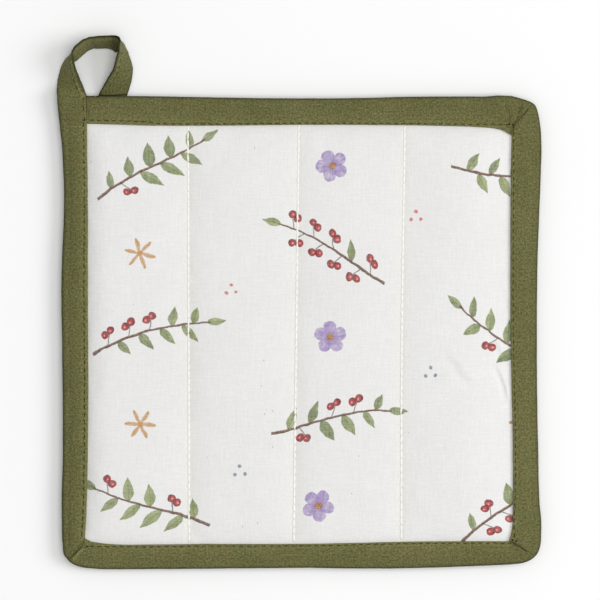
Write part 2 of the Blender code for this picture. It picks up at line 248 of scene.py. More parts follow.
def pullTree():
    # draws cloth in along its stitch lines, deeper at each stitch, and ripples it a little
    tree, given = newTree("sewnPull", {
        "Object": ["Stitch Lines"], "Material": ["Material"],
        "Float": ["Pitch", "Hole Depth", "Hole Reach", "Groove Depth", "Groove Reach",
                  "Ripple Height", "Ripple Size", "Height Share", "Seed"]})
    lines = addNode(tree, "GeometryNodeObjectInfo", {"Object": given["Stitch Lines"]}).outputs["Geometry"]
    place = addNode(tree, "GeometryNodeInputPosition").outputs[0]
    flatPlace = vectorCalc(tree, "MULTIPLY", place, joined(tree, 1.0, 1.0, given["Height Share"]))
    flat = addNode(tree, "GeometryNodeSetPosition", {"Geometry": lines, "Position": flatPlace}).outputs[0]
    wire = addNode(tree, "GeometryNodeCurveToMesh", {"Curve": flat}).outputs[0]
    holes = addNode(tree, "GeometryNodeCurveToPoints", {
        "Curve": flat, "Length": given["Pitch"]}, mode="LENGTH").outputs["Points"]

    def nearness(target, element, reach):
        near = addNode(tree, "GeometryNodeProximity", {0: target, "Source Position": flatPlace},
                       target_element=element)
        away = Field(tree, near.outputs["Distance"]) / reach
        return (away * away * -1.0).exponent()

    drawn = (nearness(wire, "EDGES", given["Groove Reach"]) * given["Groove Depth"]
             + nearness(holes, "POINTS", given["Hole Reach"]) * given["Hole Depth"])
    noise = Field(tree, addNode(tree, "ShaderNodeTexNoise", {
        "Vector": place, "W": given["Seed"], "Scale": Field(tree, 1.0) / given["Ripple Size"],
        "Detail": 2.0, "Roughness": 0.5}, noise_dimensions="4D").outputs[0])
    ripple = (noise - 0.5) * (Field(tree, given["Ripple Height"]) * 2.0)
    normal = addNode(tree, "GeometryNodeInputNormal").outputs[0]
    moved = addNode(tree, "GeometryNodeSetPosition", {
        "Geometry": given["Geometry"], "Offset": vectorCalc(tree, "SCALE", normal, scale=ripple - drawn)})
    return endTree(tree, moved.outputs[0], given["Material"])


def stitchTree():
    # sets a stitch, or a grey disc of painted shade for a needle hole, at even steps along guide lines,
    # resting on the cloth
    tree, given = newTree("stitchRow", {
        "Object": ["Cloth"], "Int": ["Seed"], "Material": ["Material"],
        "Float": ["Pitch", "Shift", "Length", "Width", "Height", "Lift", "Turn"]})
    cloth = addNode(tree, "GeometryNodeObjectInfo", {"Object": given["Cloth"]}).outputs["Geometry"]
    trimmed = addNode(tree, "GeometryNodeTrimCurve", {"Curve": given["Geometry"]}, mode="LENGTH")
    start, end = shownSockets(trimmed.inputs, ("Start", "End"))
    tree.links.new(given["Shift"], start)
    tree.links.new(addNode(tree, "GeometryNodeSplineLength").outputs["Length"], end)
    steps = addNode(tree, "GeometryNodeCurveToPoints", {
        "Curve": trimmed.outputs[0], "Length": given["Pitch"]}, mode="LENGTH").outputs
    place = addNode(tree, "GeometryNodeInputPosition").outputs[0]
    near = addNode(tree, "GeometryNodeProximity", {
        0: cloth, "Source Position": place}, target_element="FACES")
    normal = addNode(tree, "GeometryNodeInputNormal").outputs[0]
    out = addNode(tree, "GeometryNodeSampleNearestSurface", {
        0: cloth, "Value": normal, "Sample Position": place}, data_type="FLOAT_VECTOR").outputs[0]
    along = addNode(tree, "FunctionNodeAlignRotationToVector", {"Vector": steps["Tangent"]}, axis="X")
    laid = addNode(tree, "FunctionNodeAlignRotationToVector", {
        "Rotation": along.outputs[0], "Vector": out}, axis="Z", pivot_axis="X").outputs[0]
    swing = addNode(tree, "FunctionNodeRandomValue", {"Seed": given["Seed"]}, data_type="FLOAT")
    least, most = shownSockets(swing.inputs, ("Min", "Max"))
    tree.links.new((Field(tree, given["Turn"]) * -1.0).socket, least)
    tree.links.new(given["Turn"], most)
    angle, = shownSockets(swing.outputs, ("Value",))
    sway = addNode(tree, "FunctionNodeAxisAngleToRotation", {"Axis": (0.0, 0.0, 1.0), "Angle": angle})
    turned = addNode(tree, "FunctionNodeRotateRotation", {
        "Rotation": laid, "Rotate By": sway.outputs[0]}, rotation_space="LOCAL").outputs[0]
    seated = addNode(tree, "GeometryNodeSetPosition", {
        "Geometry": steps["Points"], "Position": near.outputs["Position"],
        "Offset": vectorCalc(tree, "SCALE", out, scale=given["Lift"])}).outputs[0]
    thread = addNode(tree, "GeometryNodeMeshUVSphere", {"Segments": 8, "Rings": 6, "Radius": 0.5})
    row = addNode(tree, "GeometryNodeInstanceOnPoints", {
        "Points": seated, "Instance": thread.outputs["Mesh"], "Rotation": turned,
        "Scale": joined(tree, given["Length"], given["Width"], given["Height"])})
    return endTree(tree, row.outputs[0], given["Material"])


pullOnCloth, rowOfStitches = pullTree(), stitchTree()


def inMetres(sizes):
    return {label: size * mm for label, size in sizes.items()}


def drawIn(piece, guide, cloth, sizes, seed, heightShare=0.0):
    # with a height share of nothing, a line draws in all the cloth above and below it
    return runTree(piece, pullOnCloth, {
        "Stitch Lines": guide, "Height Share": heightShare, "Seed": seed, "Material": cloth,
        **inMetres(sizes)})


def sewRow(name, guide, cloth, thread, length, width, height, lift, first):
    row = bpy.data.objects.new(name, guide.data.copy())
    bpy.context.scene.collection.objects.link(row)
    sizes = {"Pitch": stitchPitch, "Length": length, "Width": width, "Height": height, "Lift": lift,
             "Shift": first}
    return runTree(row, rowOfStitches, {
        "Cloth": cloth, "Turn": 0.1, "Seed": 5, "Material": threads[thread], **inMetres(sizes)})


# The padded panel: two faces of cotton on batting, quilted in upright channels
padLook = {
    "seams": [(-46.8, -46.6, -46.4), (-0.4, -1.5, -2.5), (44.1, 42.8, 42.6)],  # x: top, middle, bottom
    "seamDepths": [(1.15, 1.5, 1.35), (0.8, 1.3, 1.5), (0.45, 0.85, 1.3)],
    "columns": (14, 14, 14, 22),  # in each channel
    "gather": 0.6,            # how much closer the columns stand at the seams
    "rows": 148,
    "edgeInset": 3.0,         # from the binding's fold to the cut edge inside it
    "cornerTrim": 2.6,
    "tucked": (1.4, 0.35),    # this far inside the binding each face is pressed in by this much
    "held": (0.6, 0.3),       # the filling doesn't move points this near the edge or a seam
    "frontAtEdge": 5.4,       # heights of the two faces where they enter the binding
    "backAtEdge": 3.75,
    "frontCrown": 2.3,        # before the filling pushes
    "backCrown": 4.1,
    "crownReach": {"left": 9.0, "right": 20.0, "ends": 9.0},
    "crownPower": {"left": 0.7, "right": 1.0, "ends": 0.7},  # less than 1 rises faster beside the binding
    "seamSpread": (15.0, 7.5),  # the cloth falls slowly to a seam from its left and rises fast again
    "seamRound": 0.8,
    "seamEnds": 1.0,          # a row of stitches ends this far from the binding
    "creases": [  # places, height and reach; the cloth is low on the left of each, high on its right
        (((61.5, -21.0), (66.2, -26.3), (68.0, -29.8), (74.0, -34.2)), 0.85, 2.0),
        (((80.0, -12.5), (82.4, -16.6), (84.0, -20.0), (84.2, -24.5)), 0.65, 1.5),
        (((82.0, -25.5), (84.2, -30.2), (86.0, -34.9), (87.4, -41.5)), 1.1, 1.35)],
    "filling": {"quality": 6, "mass": 0.15, "tension_stiffness": 12, "compression_stiffness": 12,
                "shear_stiffness": 5, "bending_stiffness": 0.6, "shrink_min": -0.02,
                "use_pressure": True, "uniform_pressure_force": 4.0},
    "frames": 20,
    "fillShare": 0.16,        # batting gives way less than air, so this much of the push is kept
    "moveCap": 1.3,           # and no point moves further than this
    "sewing": {"Pitch": stitchPitch, "Hole Depth": 0.1, "Hole Reach": 0.6, "Groove Depth": 0.12,
               "Groove Reach": 0.9, "Ripple Height": 0.07, "Ripple Size": 14},
}
seamReaders = [smoothTable([(0.0, *low), (0.5, *middle), (1.0, *top)])
               for top, middle, low in (zip(*pair) for pair in zip(padLook["seams"], padLook["seamDepths"]))]


def seamX(seam, height):
    return seamReaders[seam](height)[..., 0]


def padPlaces():
    # channel and place in it for each column, then zone and place for each row
    columns = [(-1, 0.0), (-1, 0.5)]
    for channel, count in enumerate(padLook["columns"]):
        steps = np.arange(count) / count
        closer = steps - padLook["gather"] * np.sin(2 * np.pi * steps) / (2 * np.pi)
        columns += [(channel, t) for t in closer]
    columns += [(3, 1.0), (4, 0.5), (4, 0.0)]
    rows = [(-1, 0.0), (-1, 0.5)]
    rows += [(0, step / padLook["rows"]) for step in range(padLook["rows"] + 1)]
    rows += [(1, 0.5), (1, 0.0)]
    return columns, rows


def padPlan():
    # x, y and height share of every point, as columns by rows
    columns, rows = padPlaces()
    inset = padLook["edgeInset"]
    x = np.zeros((len(columns), len(rows)))
    y = np.zeros_like(x)
    share = np.array([0.0 if zone < 0 else 1.0 if zone > 0 else t for zone, t in rows])
    for _ in range(3):  # x and y each depend a little on the other
        for r, (zone, t) in enumerate(rows):
            low, high = edge("bottomSewn", x[:, r]), edge("topSewn", x[:, r])
            if zone < 0:
                y[:, r] = blend(edge("bottomFold", x[:, r]) + inset, low, t)
            elif zone > 0:
                y[:, r] = blend(edge("topFold", x[:, r]) - inset, high, t)
            else:
                y[:, r] = blend(low, high, t)
        for c, (channel, t) in enumerate(columns):
            left, right = edge("leftSewn", y[c]), edge("rightSewn", y[c])
            if channel < 0:
                x[c] = blend(edge("leftFold", y[c]) + inset, left, t)
            elif channel > 3:
                x[c] = blend(edge("rightFold", y[c]) - inset, right, t)
            else:
                lines = [left] + [seamX(seam, share) for seam in range(3)] + [right]
                x[c] = blend(lines[channel], lines[channel + 1], t)
    outX = np.array([1.0 - t if channel in (-1, 4) else 0.0 for channel, t in columns])
    outY = np.array([1.0 - t if zone else 0.0 for zone, t in rows])
    trim = padLook["cornerTrim"] * outX[:, None] * outY[None, :]
    x -= np.sign(x) * trim
    y -= np.sign(y) * trim
    return x, y, np.broadcast_to(share, x.shape)


def padCrown(x, y):
    fromLeft, fromRight = x - edge("leftSewn", y), edge("rightSewn", y) - x
    fromEnds = np.minimum(y - edge("bottomSewn", x), edge("topSewn", x) - y)
    crown = 1.0
    for side, away in (("left", fromLeft), ("right", fromRight), ("ends", fromEnds)):
        risen = np.sin(np.pi / 2 * np.clip(away / padLook["crownReach"][side], 0.0, 1.0))
        crown = crown * risen**padLook["crownPower"][side]
    return crown, np.minimum(np.minimum(fromLeft, fromRight), fromEnds)


def seamPull(x, share):
    off = np.array([x - seamX(seam, share) for seam in range(3)])
    rounded = np.sqrt(off**2 + padLook["seamRound"]**2) - padLook["seamRound"]
    left, right = padLook["seamSpread"]
    depths = np.array([reader(share)[..., 1] for reader in seamReaders])
    pull = depths * np.exp(-rounded / np.where(off < 0.0, left, right))
    return pull.sum(axis=0), np.abs(off).min(axis=0)


def makePad():
    x, y, share = padPlan()
    crown, fromEdge = padCrown(x, y)
    pull, fromSeam = seamPull(x, share)
    deep, thinner = padLook["tucked"]
    hidden = np.where(fromEdge < -deep, thinner, 0.0)
    front = padLook["frontAtEdge"] - hidden + crown * (padLook["frontCrown"] - pull)
    back = padLook["backAtEdge"] + hidden - crown * (padLook["backCrown"] - pull)
    columns, rows = x.shape
    points = np.concatenate([np.stack([x, y, z], -1).reshape(-1, 3) for z in (front, back)])
    number = np.arange(columns * rows).reshape(columns, rows)
    behind = number + columns * rows
    faces = []
    for c in range(columns - 1):
        for r in range(rows - 1):
            faces.append((number[c, r], number[c + 1, r], number[c + 1, r + 1], number[c, r + 1]))
            faces.append((behind[c, r], behind[c, r + 1], behind[c + 1, r + 1], behind[c + 1, r]))
    rim = ([(c, 0) for c in range(columns)] + [(columns - 1, r) for r in range(1, rows)]
           + [(c, rows - 1) for c in range(columns - 2, -1, -1)] + [(0, r) for r in range(rows - 2, 0, -1)])
    for a, b in zip(rim, rim[1:] + rim[:1]):
        faces.append((behind[a], behind[b], number[b], number[a]))
    faces = [tuple(int(i) for i in face) for face in faces]
    panel = meshObject("quiltedPanel", points, faces)
    nearEdge, nearSeam = padLook["held"]
    held = (fromEdge < nearEdge) | (fromSeam < nearSeam)
    fillPanel(panel, np.concatenate([held.ravel(), held.ravel()]))
    return panel


def fillPanel(panel, held):
    # the filling pushes the cloth out between the seams; what it adds is kept small
    start = np.array([v.co for v in panel.data.vertices])
    group = panel.vertex_groups.new(name="sewnDown")
    group.add([int(i) for i in np.flatnonzero(held)], 1.0, "REPLACE")
    cloth = panel.modifiers.new("Filling", "CLOTH")
    cloth.settings.vertex_group_mass = "sewnDown"
    for setting, value in padLook["filling"].items():
        setattr(cloth.settings, setting, value)
    cloth.settings.effector_weights.gravity = 0.0
    cloth.collision_settings.use_collision = False
    scene = bpy.context.scene
    scene.frame_start, scene.frame_end = 1, padLook["frames"]
    cloth.point_cache.frame_start, cloth.point_cache.frame_end = 1, padLook["frames"]
    for step in range(1, padLook["frames"] + 1):
        scene.frame_set(step)
    graph = bpy.context.evaluated_depsgraph_get()
    filled = np.array([v.co for v in panel.evaluated_get(graph).data.vertices])
    panel.modifiers.clear()
    scene.frame_set(1)
    move = (filled - start) / mm * padLook["fillShare"]
    far = np.maximum(np.linalg.norm(move, axis=1, keepdims=True), 1e-6)
    move *= np.minimum(1.0, padLook["moveCap"] / far)
    places = start + move * mm
    places[:, 2] = np.maximum(places[:, 2], 0.0)  # pressed flat where it lies
    panel.data.vertices.foreach_set("co", places.astype(np.float32).ravel())
    panel.vertex_groups.clear()
    finer = panel.modifiers.new("Finer", "SUBSURF")
    finer.levels = finer.render_levels = 1
    makeReal(panel)
    places = np.array([v.co for v in panel.data.vertices])
    inFront = places[:, 2] > padLook["backAtEdge"] * mm
    places[:, 2] += np.where(inFront, creaseRise(places[:, :2] / mm) * mm, 0.0)
    panel.data.vertices.foreach_set("co", places.astype(np.float32).ravel())


def creaseRise(places):
    # how far each place is raised or sunk beside the creases in the front, fading at their ends
    rise = np.zeros(len(places))
    rows = np.arange(len(places))
    for line, height, reach in padLook["creases"]:
        line = np.array(line)
        steps = np.diff(line, axis=0)
        lengths = np.linalg.norm(steps, axis=1)
        off = places[:, None] - line[:-1]
        share = np.clip((off * steps).sum(axis=-1) / lengths**2, 0.0, 1.0)
        off = off - share[..., None] * steps
        away = np.linalg.norm(off, axis=-1)
        near = away.argmin(axis=1)
        step, off = steps[near], off[rows, near]
        side = np.sign(step[:, 0] * off[:, 1] - step[:, 1] * off[:, 0])
        before = np.cumsum(lengths)[near] - lengths[near]
        run = (before + share[rows, near] * lengths[near]) / lengths.sum()
        d = side * away[rows, near] / reach
        rise += height * d * np.exp(-d * d) * np.sqrt(np.sin(np.pi * np.clip(run, 0.0, 1.0)))
    return rise


# The binding: one strip folded over all four sides, sewn down near its inner edge
bindingLook = {
    "middle": 4.4,            # height of its middle, and half its height
    "half": 2.3,
    "cloth": 1.1,             # one limb with its raw edge turned under
    "sideSpacing": 0.62,
    "edgeFall": 0.85,         # the strip slopes down towards its fold
    "foldRound": 3.0,
    "puff": 0.14,
    "innerRise": 1.6,         # a lifted fold is flat again this near the inner corner
    "mitreStep": 0.8,
    "mitreSwell": 0.3,
    "mitreUndercut": 0.022,   # share of the corner that the fold hangs over
    "mitreSpan": (0.2, 0.42, 0.66, 0.9),  # shares of the width between which the fold's painted shade comes and goes
    "mitreFade": 0.8,         # share of the fold's shade that goes
    "mitreReach": 0.2,        # share of the corner that leans over with it
    "overlapStep": 1.0,
    "overlapRise": 6.0,
    "overlapStitches": ((-90.9, 87.0), (-90.1, 77.2)),
    "knots": [(-90.3, 76.6), (88.0, 75.0), (89.6, 74.7), (-88.9, -102.1), (89.7, -99.4), (91.0, -99.9)],
    "creases": [((86.3, 83.4), (87.5, 81.2), (88.0, 79.0), (88.0, 75.6)),
                ((91.0, 77.6), (91.6, 79.4), (93.2, 82.6)), ((-101.0, 86.9), (-96.0, 86.7), (-91.4, 87.2))],
    # painted light and shade across the strip: paler at the inner edge where it faces up, painted shade along
    # its fold and in the corner folds, and a painted highlight on their ridges
    "paintedLight": {"inner": 0.12, "innerReach": 4.5, "unworn": 0.4, "edge": 0.12, "edgeReach": 1.6,
             "outer": 0.55, "outerReach": 0.75, "fold": 0.5, "ridge": 0.2},
    "stitchInset": {
        "top": [(-89.0, 1.5), (-64.0, 1.5), (-58.0, 0.8), (62.0, 0.8), (70.0, 0.95), (76.0, 1.2),
                (80.2, 1.6), (84.4, 2.3), (86.5, 3.2), (88.3, 4.2)],
        "right": [(-100.0, 2.3), (-97.0, 1.5), (-94.0, 0.85), (-91.0, 0.6), (-84.0, 0.9), (-60.0, 1.1),
                  (50.0, 1.1), (75.0, 0.75)],
        "bottom": [(-90.0, 3.3), (-87.0, 1.9), (-82.0, 1.3), (-78.0, 1.0), (-70.0, 0.9), (89.0, 0.8)],
        "left": [(-99.0, 1.4), (0.0, 1.6), (75.0, 1.4)]},
    "stitchSpan": {"top": (-88.7, 88.2), "right": (-99.0, 74.4), "bottom": (-88.6, 88.5),
                   "left": (-98.3, 74.9)},
    "stitchHeights": (6.7, 2.1),  # of the guide lines, in front and behind
    "top": 7.4,               # guide lines over the overlap and the corners
    "creaseTop": 7.0,         # guide lines along the creases
    "sewing": {"Pitch": stitchPitch, "Hole Depth": 0.12, "Hole Reach": 0.7, "Groove Depth": 0.04,
               "Groove Reach": 0.7, "Ripple Height": 0.16, "Ripple Size": 9},
    "pressing": {"Pitch": 90, "Hole Depth": 0.0, "Hole Reach": 1, "Groove Depth": 0.32,
                 "Groove Reach": 0.55, "Ripple Height": 0.0, "Ripple Size": 9},
}
# Folds at each corner, from the end of one side to the start of the next
foldCorners = {
    "topRight": [(90.45, 86.55), (92.06, 86.1), (93.71, 85.6), (95.45, 85.05), (97.25, 84.3), (98.85, 83.2),
                 (99.7, 81.5), (100.25, 79.7), (100.65, 77.9), (100.95, 76.1), (101.1, 74.35), (101.3, 72.4)],
    "bottomRight": [(101.35, -100.9), (100.95, -102.8), (100.25, -104.65), (99.15, -106.25), (97.7, -107.55),
                    (95.95, -108.5), (94.1, -109.15), (92.25, -109.5), (90.51, -109.65)],
    "bottomLeft": [(-91.5, -111.1), (-93.05, -110.65), (-94.92, -109.9), (-96.6, -108.8), (-97.9, -107.25),
                   (-99.05, -105.7), (-99.35, -103.66), (-99.5, -101.2)],
    "topLeft": [(-101.0, 77.5), (-101.5, 81.8), (-101.7, 85.6), (-101.6, 86.4), (-101.2, 86.85),
                (-100.4, 86.95), (-96.0, 86.95), (-91.0, 86.95)],
}
# Where each corner fold can be seen to start and end; the top left one only turns
foldLines = {
    "topRight": ((90.7, 74.9), (95.6, 81.5)),
    "bottomRight": ((89.6, -100.5), (96.2, -104.7)),
    "bottomLeft": ((-91.4, -102.4), (-95.8, -107.0)),
    "topLeft": ((-95.0, 80.5), (-101.6, 86.8)),
}


def sideRings(side, upright, back=False):
    # the rings of one side, clockwise; a table that is listed the other way is read from its end
    places = [row[0] for row in edgeTables[side + "Sewn"]]
    start, end = (places[-1], places[0]) if back else (places[0], places[-1])
    count = int(abs(end - start) / bindingLook["sideSpacing"])
    at = np.linspace(start, end, count + 1)
    inner = np.stack([at, edge(side + "Sewn", at)], -1)
    outer = np.stack([at, edge(side + "Fold", at)], -1)
    if upright:
        inner, outer = inner[:, ::-1], outer[:, ::-1]
    return [(a, b, b, 0.0, 1.0, "", 0.0) for a, b in zip(inner, outer)]


def cornerOutline(name, start, end):
    points = np.concatenate([[start], foldCorners[name], [end]])
    lengths = np.concatenate([[0.0], np.cumsum(np.linalg.norm(np.diff(points, axis=0), axis=1))])
    curve = smoothTable([(length, *point) for length, point in zip(lengths, points)])
    # the middle is where the corner's fold line runs out
    at = np.linspace(lengths[0], lengths[-1], 400)
    first, last = (np.array(point) for point in foldLines[name])
    along = (last - first) / np.linalg.norm(last - first)
    off = curve(at) - first
    middle = at[np.argmin(np.abs(off[:, 0] * along[1] - off[:, 1] * along[0]))]

    def read(place):  # 0.5 is the middle
        return curve(place * 2 * middle if place < 0.5 else blend(middle, lengths[-1], place * 2 - 1))

    return read


def mitrePlaces(turned):
    # place at the back, place at the front, height and tone of painted shade or highlight of each ring round
    # a mitred corner
    swell, step, under = (bindingLook[key] for key in ("mitreSwell", "mitreStep", "mitreUndercut"))
    # dark is painted shade under a corner's fold, ridge a painted highlight on its edge
    dark, ridge = 1 - bindingLook["paintedLight"]["fold"], 1 + bindingLook["paintedLight"]["ridge"]
    rows = []
    for place in np.linspace(0.02, 0.45, 22):
        rows.append((place, place, step * eased(max(1 - (0.5 - place) / swell, 0.0)), 1.0))
    rows += [(0.463, 0.463, step, ridge), (0.475, 0.475, step, ridge), (0.487, 0.489, step, ridge),
             (0.493, 0.497, step * 0.97, 1.0),
             (0.50, 0.502, step * 0.72, dark), (0.507, 0.500, step * 0.35, dark),
             (0.514, 0.5 - under, step * 0.02, dark), (0.522, 0.5 - under / 2, 0.0, dark),
             (0.532, 0.524, 0.0, dark), (0.542, 0.54, 0.0, 1.0)]
    for place in np.linspace(0.56, 0.98, 21):
        rows.append((place, place, 0.0, 1.0))
    if turned:
        rows = [(1 - back, 1 - front, lift, tone) for back, front, lift, tone in rows[::-1]]
    return rows


def cornerRings(name, before, after, turned=False):
    inner = (before[0] + after[0]) / 2
    at = cornerOutline(name, before[1], after[1])
    if name != "topLeft":
        return [(inner, at(back), at(front), lift, tone, name, back)
                for back, front, lift, tone in mitrePlaces(turned)]
    # the strip that runs on into the loop lies over the start of the top one
    # painted shade under the overlap's fold and a painted highlight on its ridge
    step, dark = bindingLook["overlapStep"], 1 - bindingLook["paintedLight"]["fold"]
    ridge = 1 + bindingLook["paintedLight"]["ridge"]
    rings = []
    for place in np.linspace(0.03, 0.93, 44):
        rise = (at(place)[1] + inner[1]) / 2 - inner[1]
        lift = step * float(eased(rise / bindingLook["overlapRise"] * 2))
        rings.append((inner, at(place), at(place), lift, 1.0, name, place))
    for back, front, share, tone in (
            (0.942, 0.944, 1.0, ridge), (0.953, 0.957, 1.0, ridge), (0.965, 0.970, 0.97, ridge),
            (0.971, 0.977, 0.85, 1.0), (0.977, 0.981, 0.6, dark), (0.983, 0.979, 0.3, dark),
            (0.990, 0.968, 0.0, dark), (0.996, 0.990, 0.0, dark)):
        rings.append((inner, at(back), at(front), step * share, tone, name, place))
    return rings


def bindingRings():
    # clockwise from the top left: each side, then the corner after it
    sides = [sideRings("top", False), sideRings("right", True),
             sideRings("bottom", False, back=True), sideRings("left", True, back=True)]
    rings = []
    for k, corner in enumerate(("topRight", "bottomRight", "bottomLeft", "topLeft")):
        before, after = sides[k], sides[(k + 1) % 4]
        rings += before + cornerRings(corner, before[-1], after[0], turned=corner == "bottomRight")
    return rings


def bindingSection():
    # share of the width, shift in millimetres, height from the middle and frontness,
    # from the turned-under front edge over the fold to the back and home along the inside
    half, cloth = bindingLook["half"], bindingLook["cloth"]
    roll = cloth / 2
    front = []
    for turn in (250, 215, 180, 145, 110):
        a = math.radians(turn)
        front.append((0.0, roll + roll * math.cos(a), half - roll + roll * math.sin(a), 1.0))
    puff, fall = bindingLook["puff"], bindingLook["edgeFall"]
    front += [(0.0, 1.0, half + 0.02, 1.0), (0.0, 1.7, half, 1.0), (0.0, 2.4, half + 0.05, 1.0)]
    dome = smoothTable([(0.26, half + puff * 0.9), (0.30, half + puff), (0.40, half + puff * 0.6),
                        (0.50, half - fall * 0.08), (0.60, half - fall * 0.38), (0.68, half - fall * 0.72)])
    shares = np.linspace(0.26, 0.68, 10)
    front += [(float(share), 0.0, float(dome(share)[0]), 1.0) for share in shares]
    fold = []
    for step in range(8):
        turn = step / 7 * math.pi / 2
        fold.append((1.0, -bindingLook["foldRound"] * (1 - math.sin(turn)), (half - fall) * math.cos(turn),
                     math.cos(turn)))
    plain = front[:8] + front[9::3]  # the back needs fewer places
    back = [(share, shift, -height, 0.0) for share, shift, height, _ in (plain + fold)[-2::-1]]
    inside = [(0.45, 0.0, half - cloth, 1.0), (0.0, roll * 1.4, half - cloth, 1.0)]
    inner = half - cloth
    hollow = []
    for step in range(5):
        turn = step / 4 * math.pi / 2
        hollow.append((1.0, -cloth - inner * (1 - math.sin(turn)) - 0.9 * math.cos(turn),
                       inner * 0.75 * math.cos(turn), math.cos(turn)))
    within = [(share, shift, -height, 0.0) for share, shift, height, _ in (hollow + inside)[::-1]]
    return front + fold + back + within + hollow[::-1][1:] + inside


def foldLean(name, rings, there, reach, places):
    # leans the cloth round a corner over, so that its fold runs where it is seen
    numbers = np.flatnonzero(there)
    middle = numbers[np.argmin(np.abs(places - 0.5))]
    inner, outer = rings[middle][0], rings[middle][1]
    straight = outer - inner
    rows = [(0.0, 0.0, 0.0), (1.0, 0.0, 0.0)]
    for point in foldLines[name]:
        share = np.dot(point - inner, straight) / np.dot(straight, straight)
        rows.append((share, *(point - inner - straight * share)))
    near = np.exp(-((places - 0.5) / bindingLook["mitreReach"])**2)
    return near[:, None, None] * smoothTable(rows)(reach)


def makeBinding():
    rings, section = bindingRings(), bindingSection()
    share, shift, height, front = (np.array(column)[None, :] for column in zip(*section))
    inner, backOut, frontOut, lift, ringTone, corners, places = (np.array(column) for column in zip(*rings))
    inner, lift, ringTone = inner[:, None], lift[:, None], ringTone[:, None]
    outer = blend(backOut[:, None], frontOut[:, None], front[..., None])
    across = outer - inner
    width = np.linalg.norm(across, axis=-1, keepdims=True)
    part = share + shift / width[..., 0]
    plan = inner + across * part[..., None]
    for name in ("topRight", "bottomRight", "bottomLeft"):
        there = corners == name
        plan[there] += foldLean(name, rings, there, part[there], places[there])
    fromInner = np.linalg.norm(plan - inner, axis=-1)
    near = eased(fromInner / bindingLook["innerRise"])  # no step at the inner corner
    z = bindingLook["middle"] + height + lift * front * near
    points = np.concatenate([plan, z[..., None]], -1)
    # unrolled places, so that the weave runs on over the fold
    unrolled = np.stack([width[..., 0] * share + shift, height + 0 * width[..., 0]], -1)
    steps = np.linalg.norm(np.diff(unrolled, axis=1), axis=-1)
    travelled = np.pad(np.cumsum(steps, axis=1), ((0, 0), (1, 0)))
    cloth = (inner + across / width * travelled[..., None]) * mm
    cloth = np.concatenate([cloth, cloth[:, -1:]], axis=1)
    faces, uvs = bandFaces(np.arange(z.size).reshape(z.shape), cloth, closed=True)
    # painted light beside the panel, where the strip faces up; painted shade along the fold
    # and inside the corner folds, with a painted highlight on their ridges
    paintedLight = bindingLook["paintedLight"]
    fromFold = width[..., 0] - fromInner
    tone = (1 + paintedLight["inner"] * (np.exp(-(fromInner / paintedLight["innerReach"])**2) - paintedLight["unworn"])
            + paintedLight["edge"] * np.exp(-(fromInner / paintedLight["edgeReach"])**2)
            - paintedLight["outer"] * np.exp(-(fromFold / paintedLight["outerReach"])**2))
    reach = fromInner / width[..., 0]
    come, full, fade, gone = bindingLook["mitreSpan"]
    lost = bindingLook["mitreFade"] * eased((reach - fade) / (gone - fade))
    shown = eased((reach - come) / (full - come)) * (1 - lost)
    shown[corners == "topLeft"] = 1.0  # the overlap's painted shade and highlight show all along
    tone *= blend(1.0, ringTone, front * shown)
    return tidyMesh(meshObject("boundEdge", points.reshape(-1, 3), faces, uvs, tone))


def tidyMesh(made):
    # closes the poles and turns the faces outwards
    builder = bmesh.new()
    builder.from_mesh(made.data)
    bmesh.ops.remove_doubles(builder, verts=builder.verts[:], dist=0.00001)
    bmesh.ops.dissolve_degenerate(builder, edges=builder.edges[:], dist=0.000005)
    bmesh.ops.recalc_face_normals(builder, faces=builder.faces[:])
    if builder.calc_volume(signed=True) < 0:
        bmesh.ops.reverse_faces(builder, faces=builder.faces[:])
    builder.to_mesh(made.data)
    builder.free()
    return made


def bindingStitchLines():
    # a line along each side, a little in from the sewn edge, front and back, and one down the overlap
    inset = {side: smoothTable(rows) for side, rows in bindingLook["stitchInset"].items()}
    lines = []
    for side, sign, upright in (("top", 1, False), ("right", 1, True),
                                ("bottom", -1, False), ("left", -1, True)):
        at = np.arange(*bindingLook["stitchSpan"][side], 1.0)
        off = edge(side + "Sewn", at) + sign * inset[side](at)[..., 0]
        for z in bindingLook["stitchHeights"]:
            lines.append([(o, a, z) if upright else (a, o, z) for a, o in zip(at, off)])
    start, end = bindingLook["overlapStitches"]
    lines.append([(x, y, bindingLook["top"]) for x, y in np.linspace(start, end, 12)])
    return lines


def knotLines():
    # a stub of line under each small thread end at the corners
    top = bindingLook["top"]
    return [[(x - 0.1, y, top), (x + 0.1, y, top)] for x, y in bindingLook["knots"]]


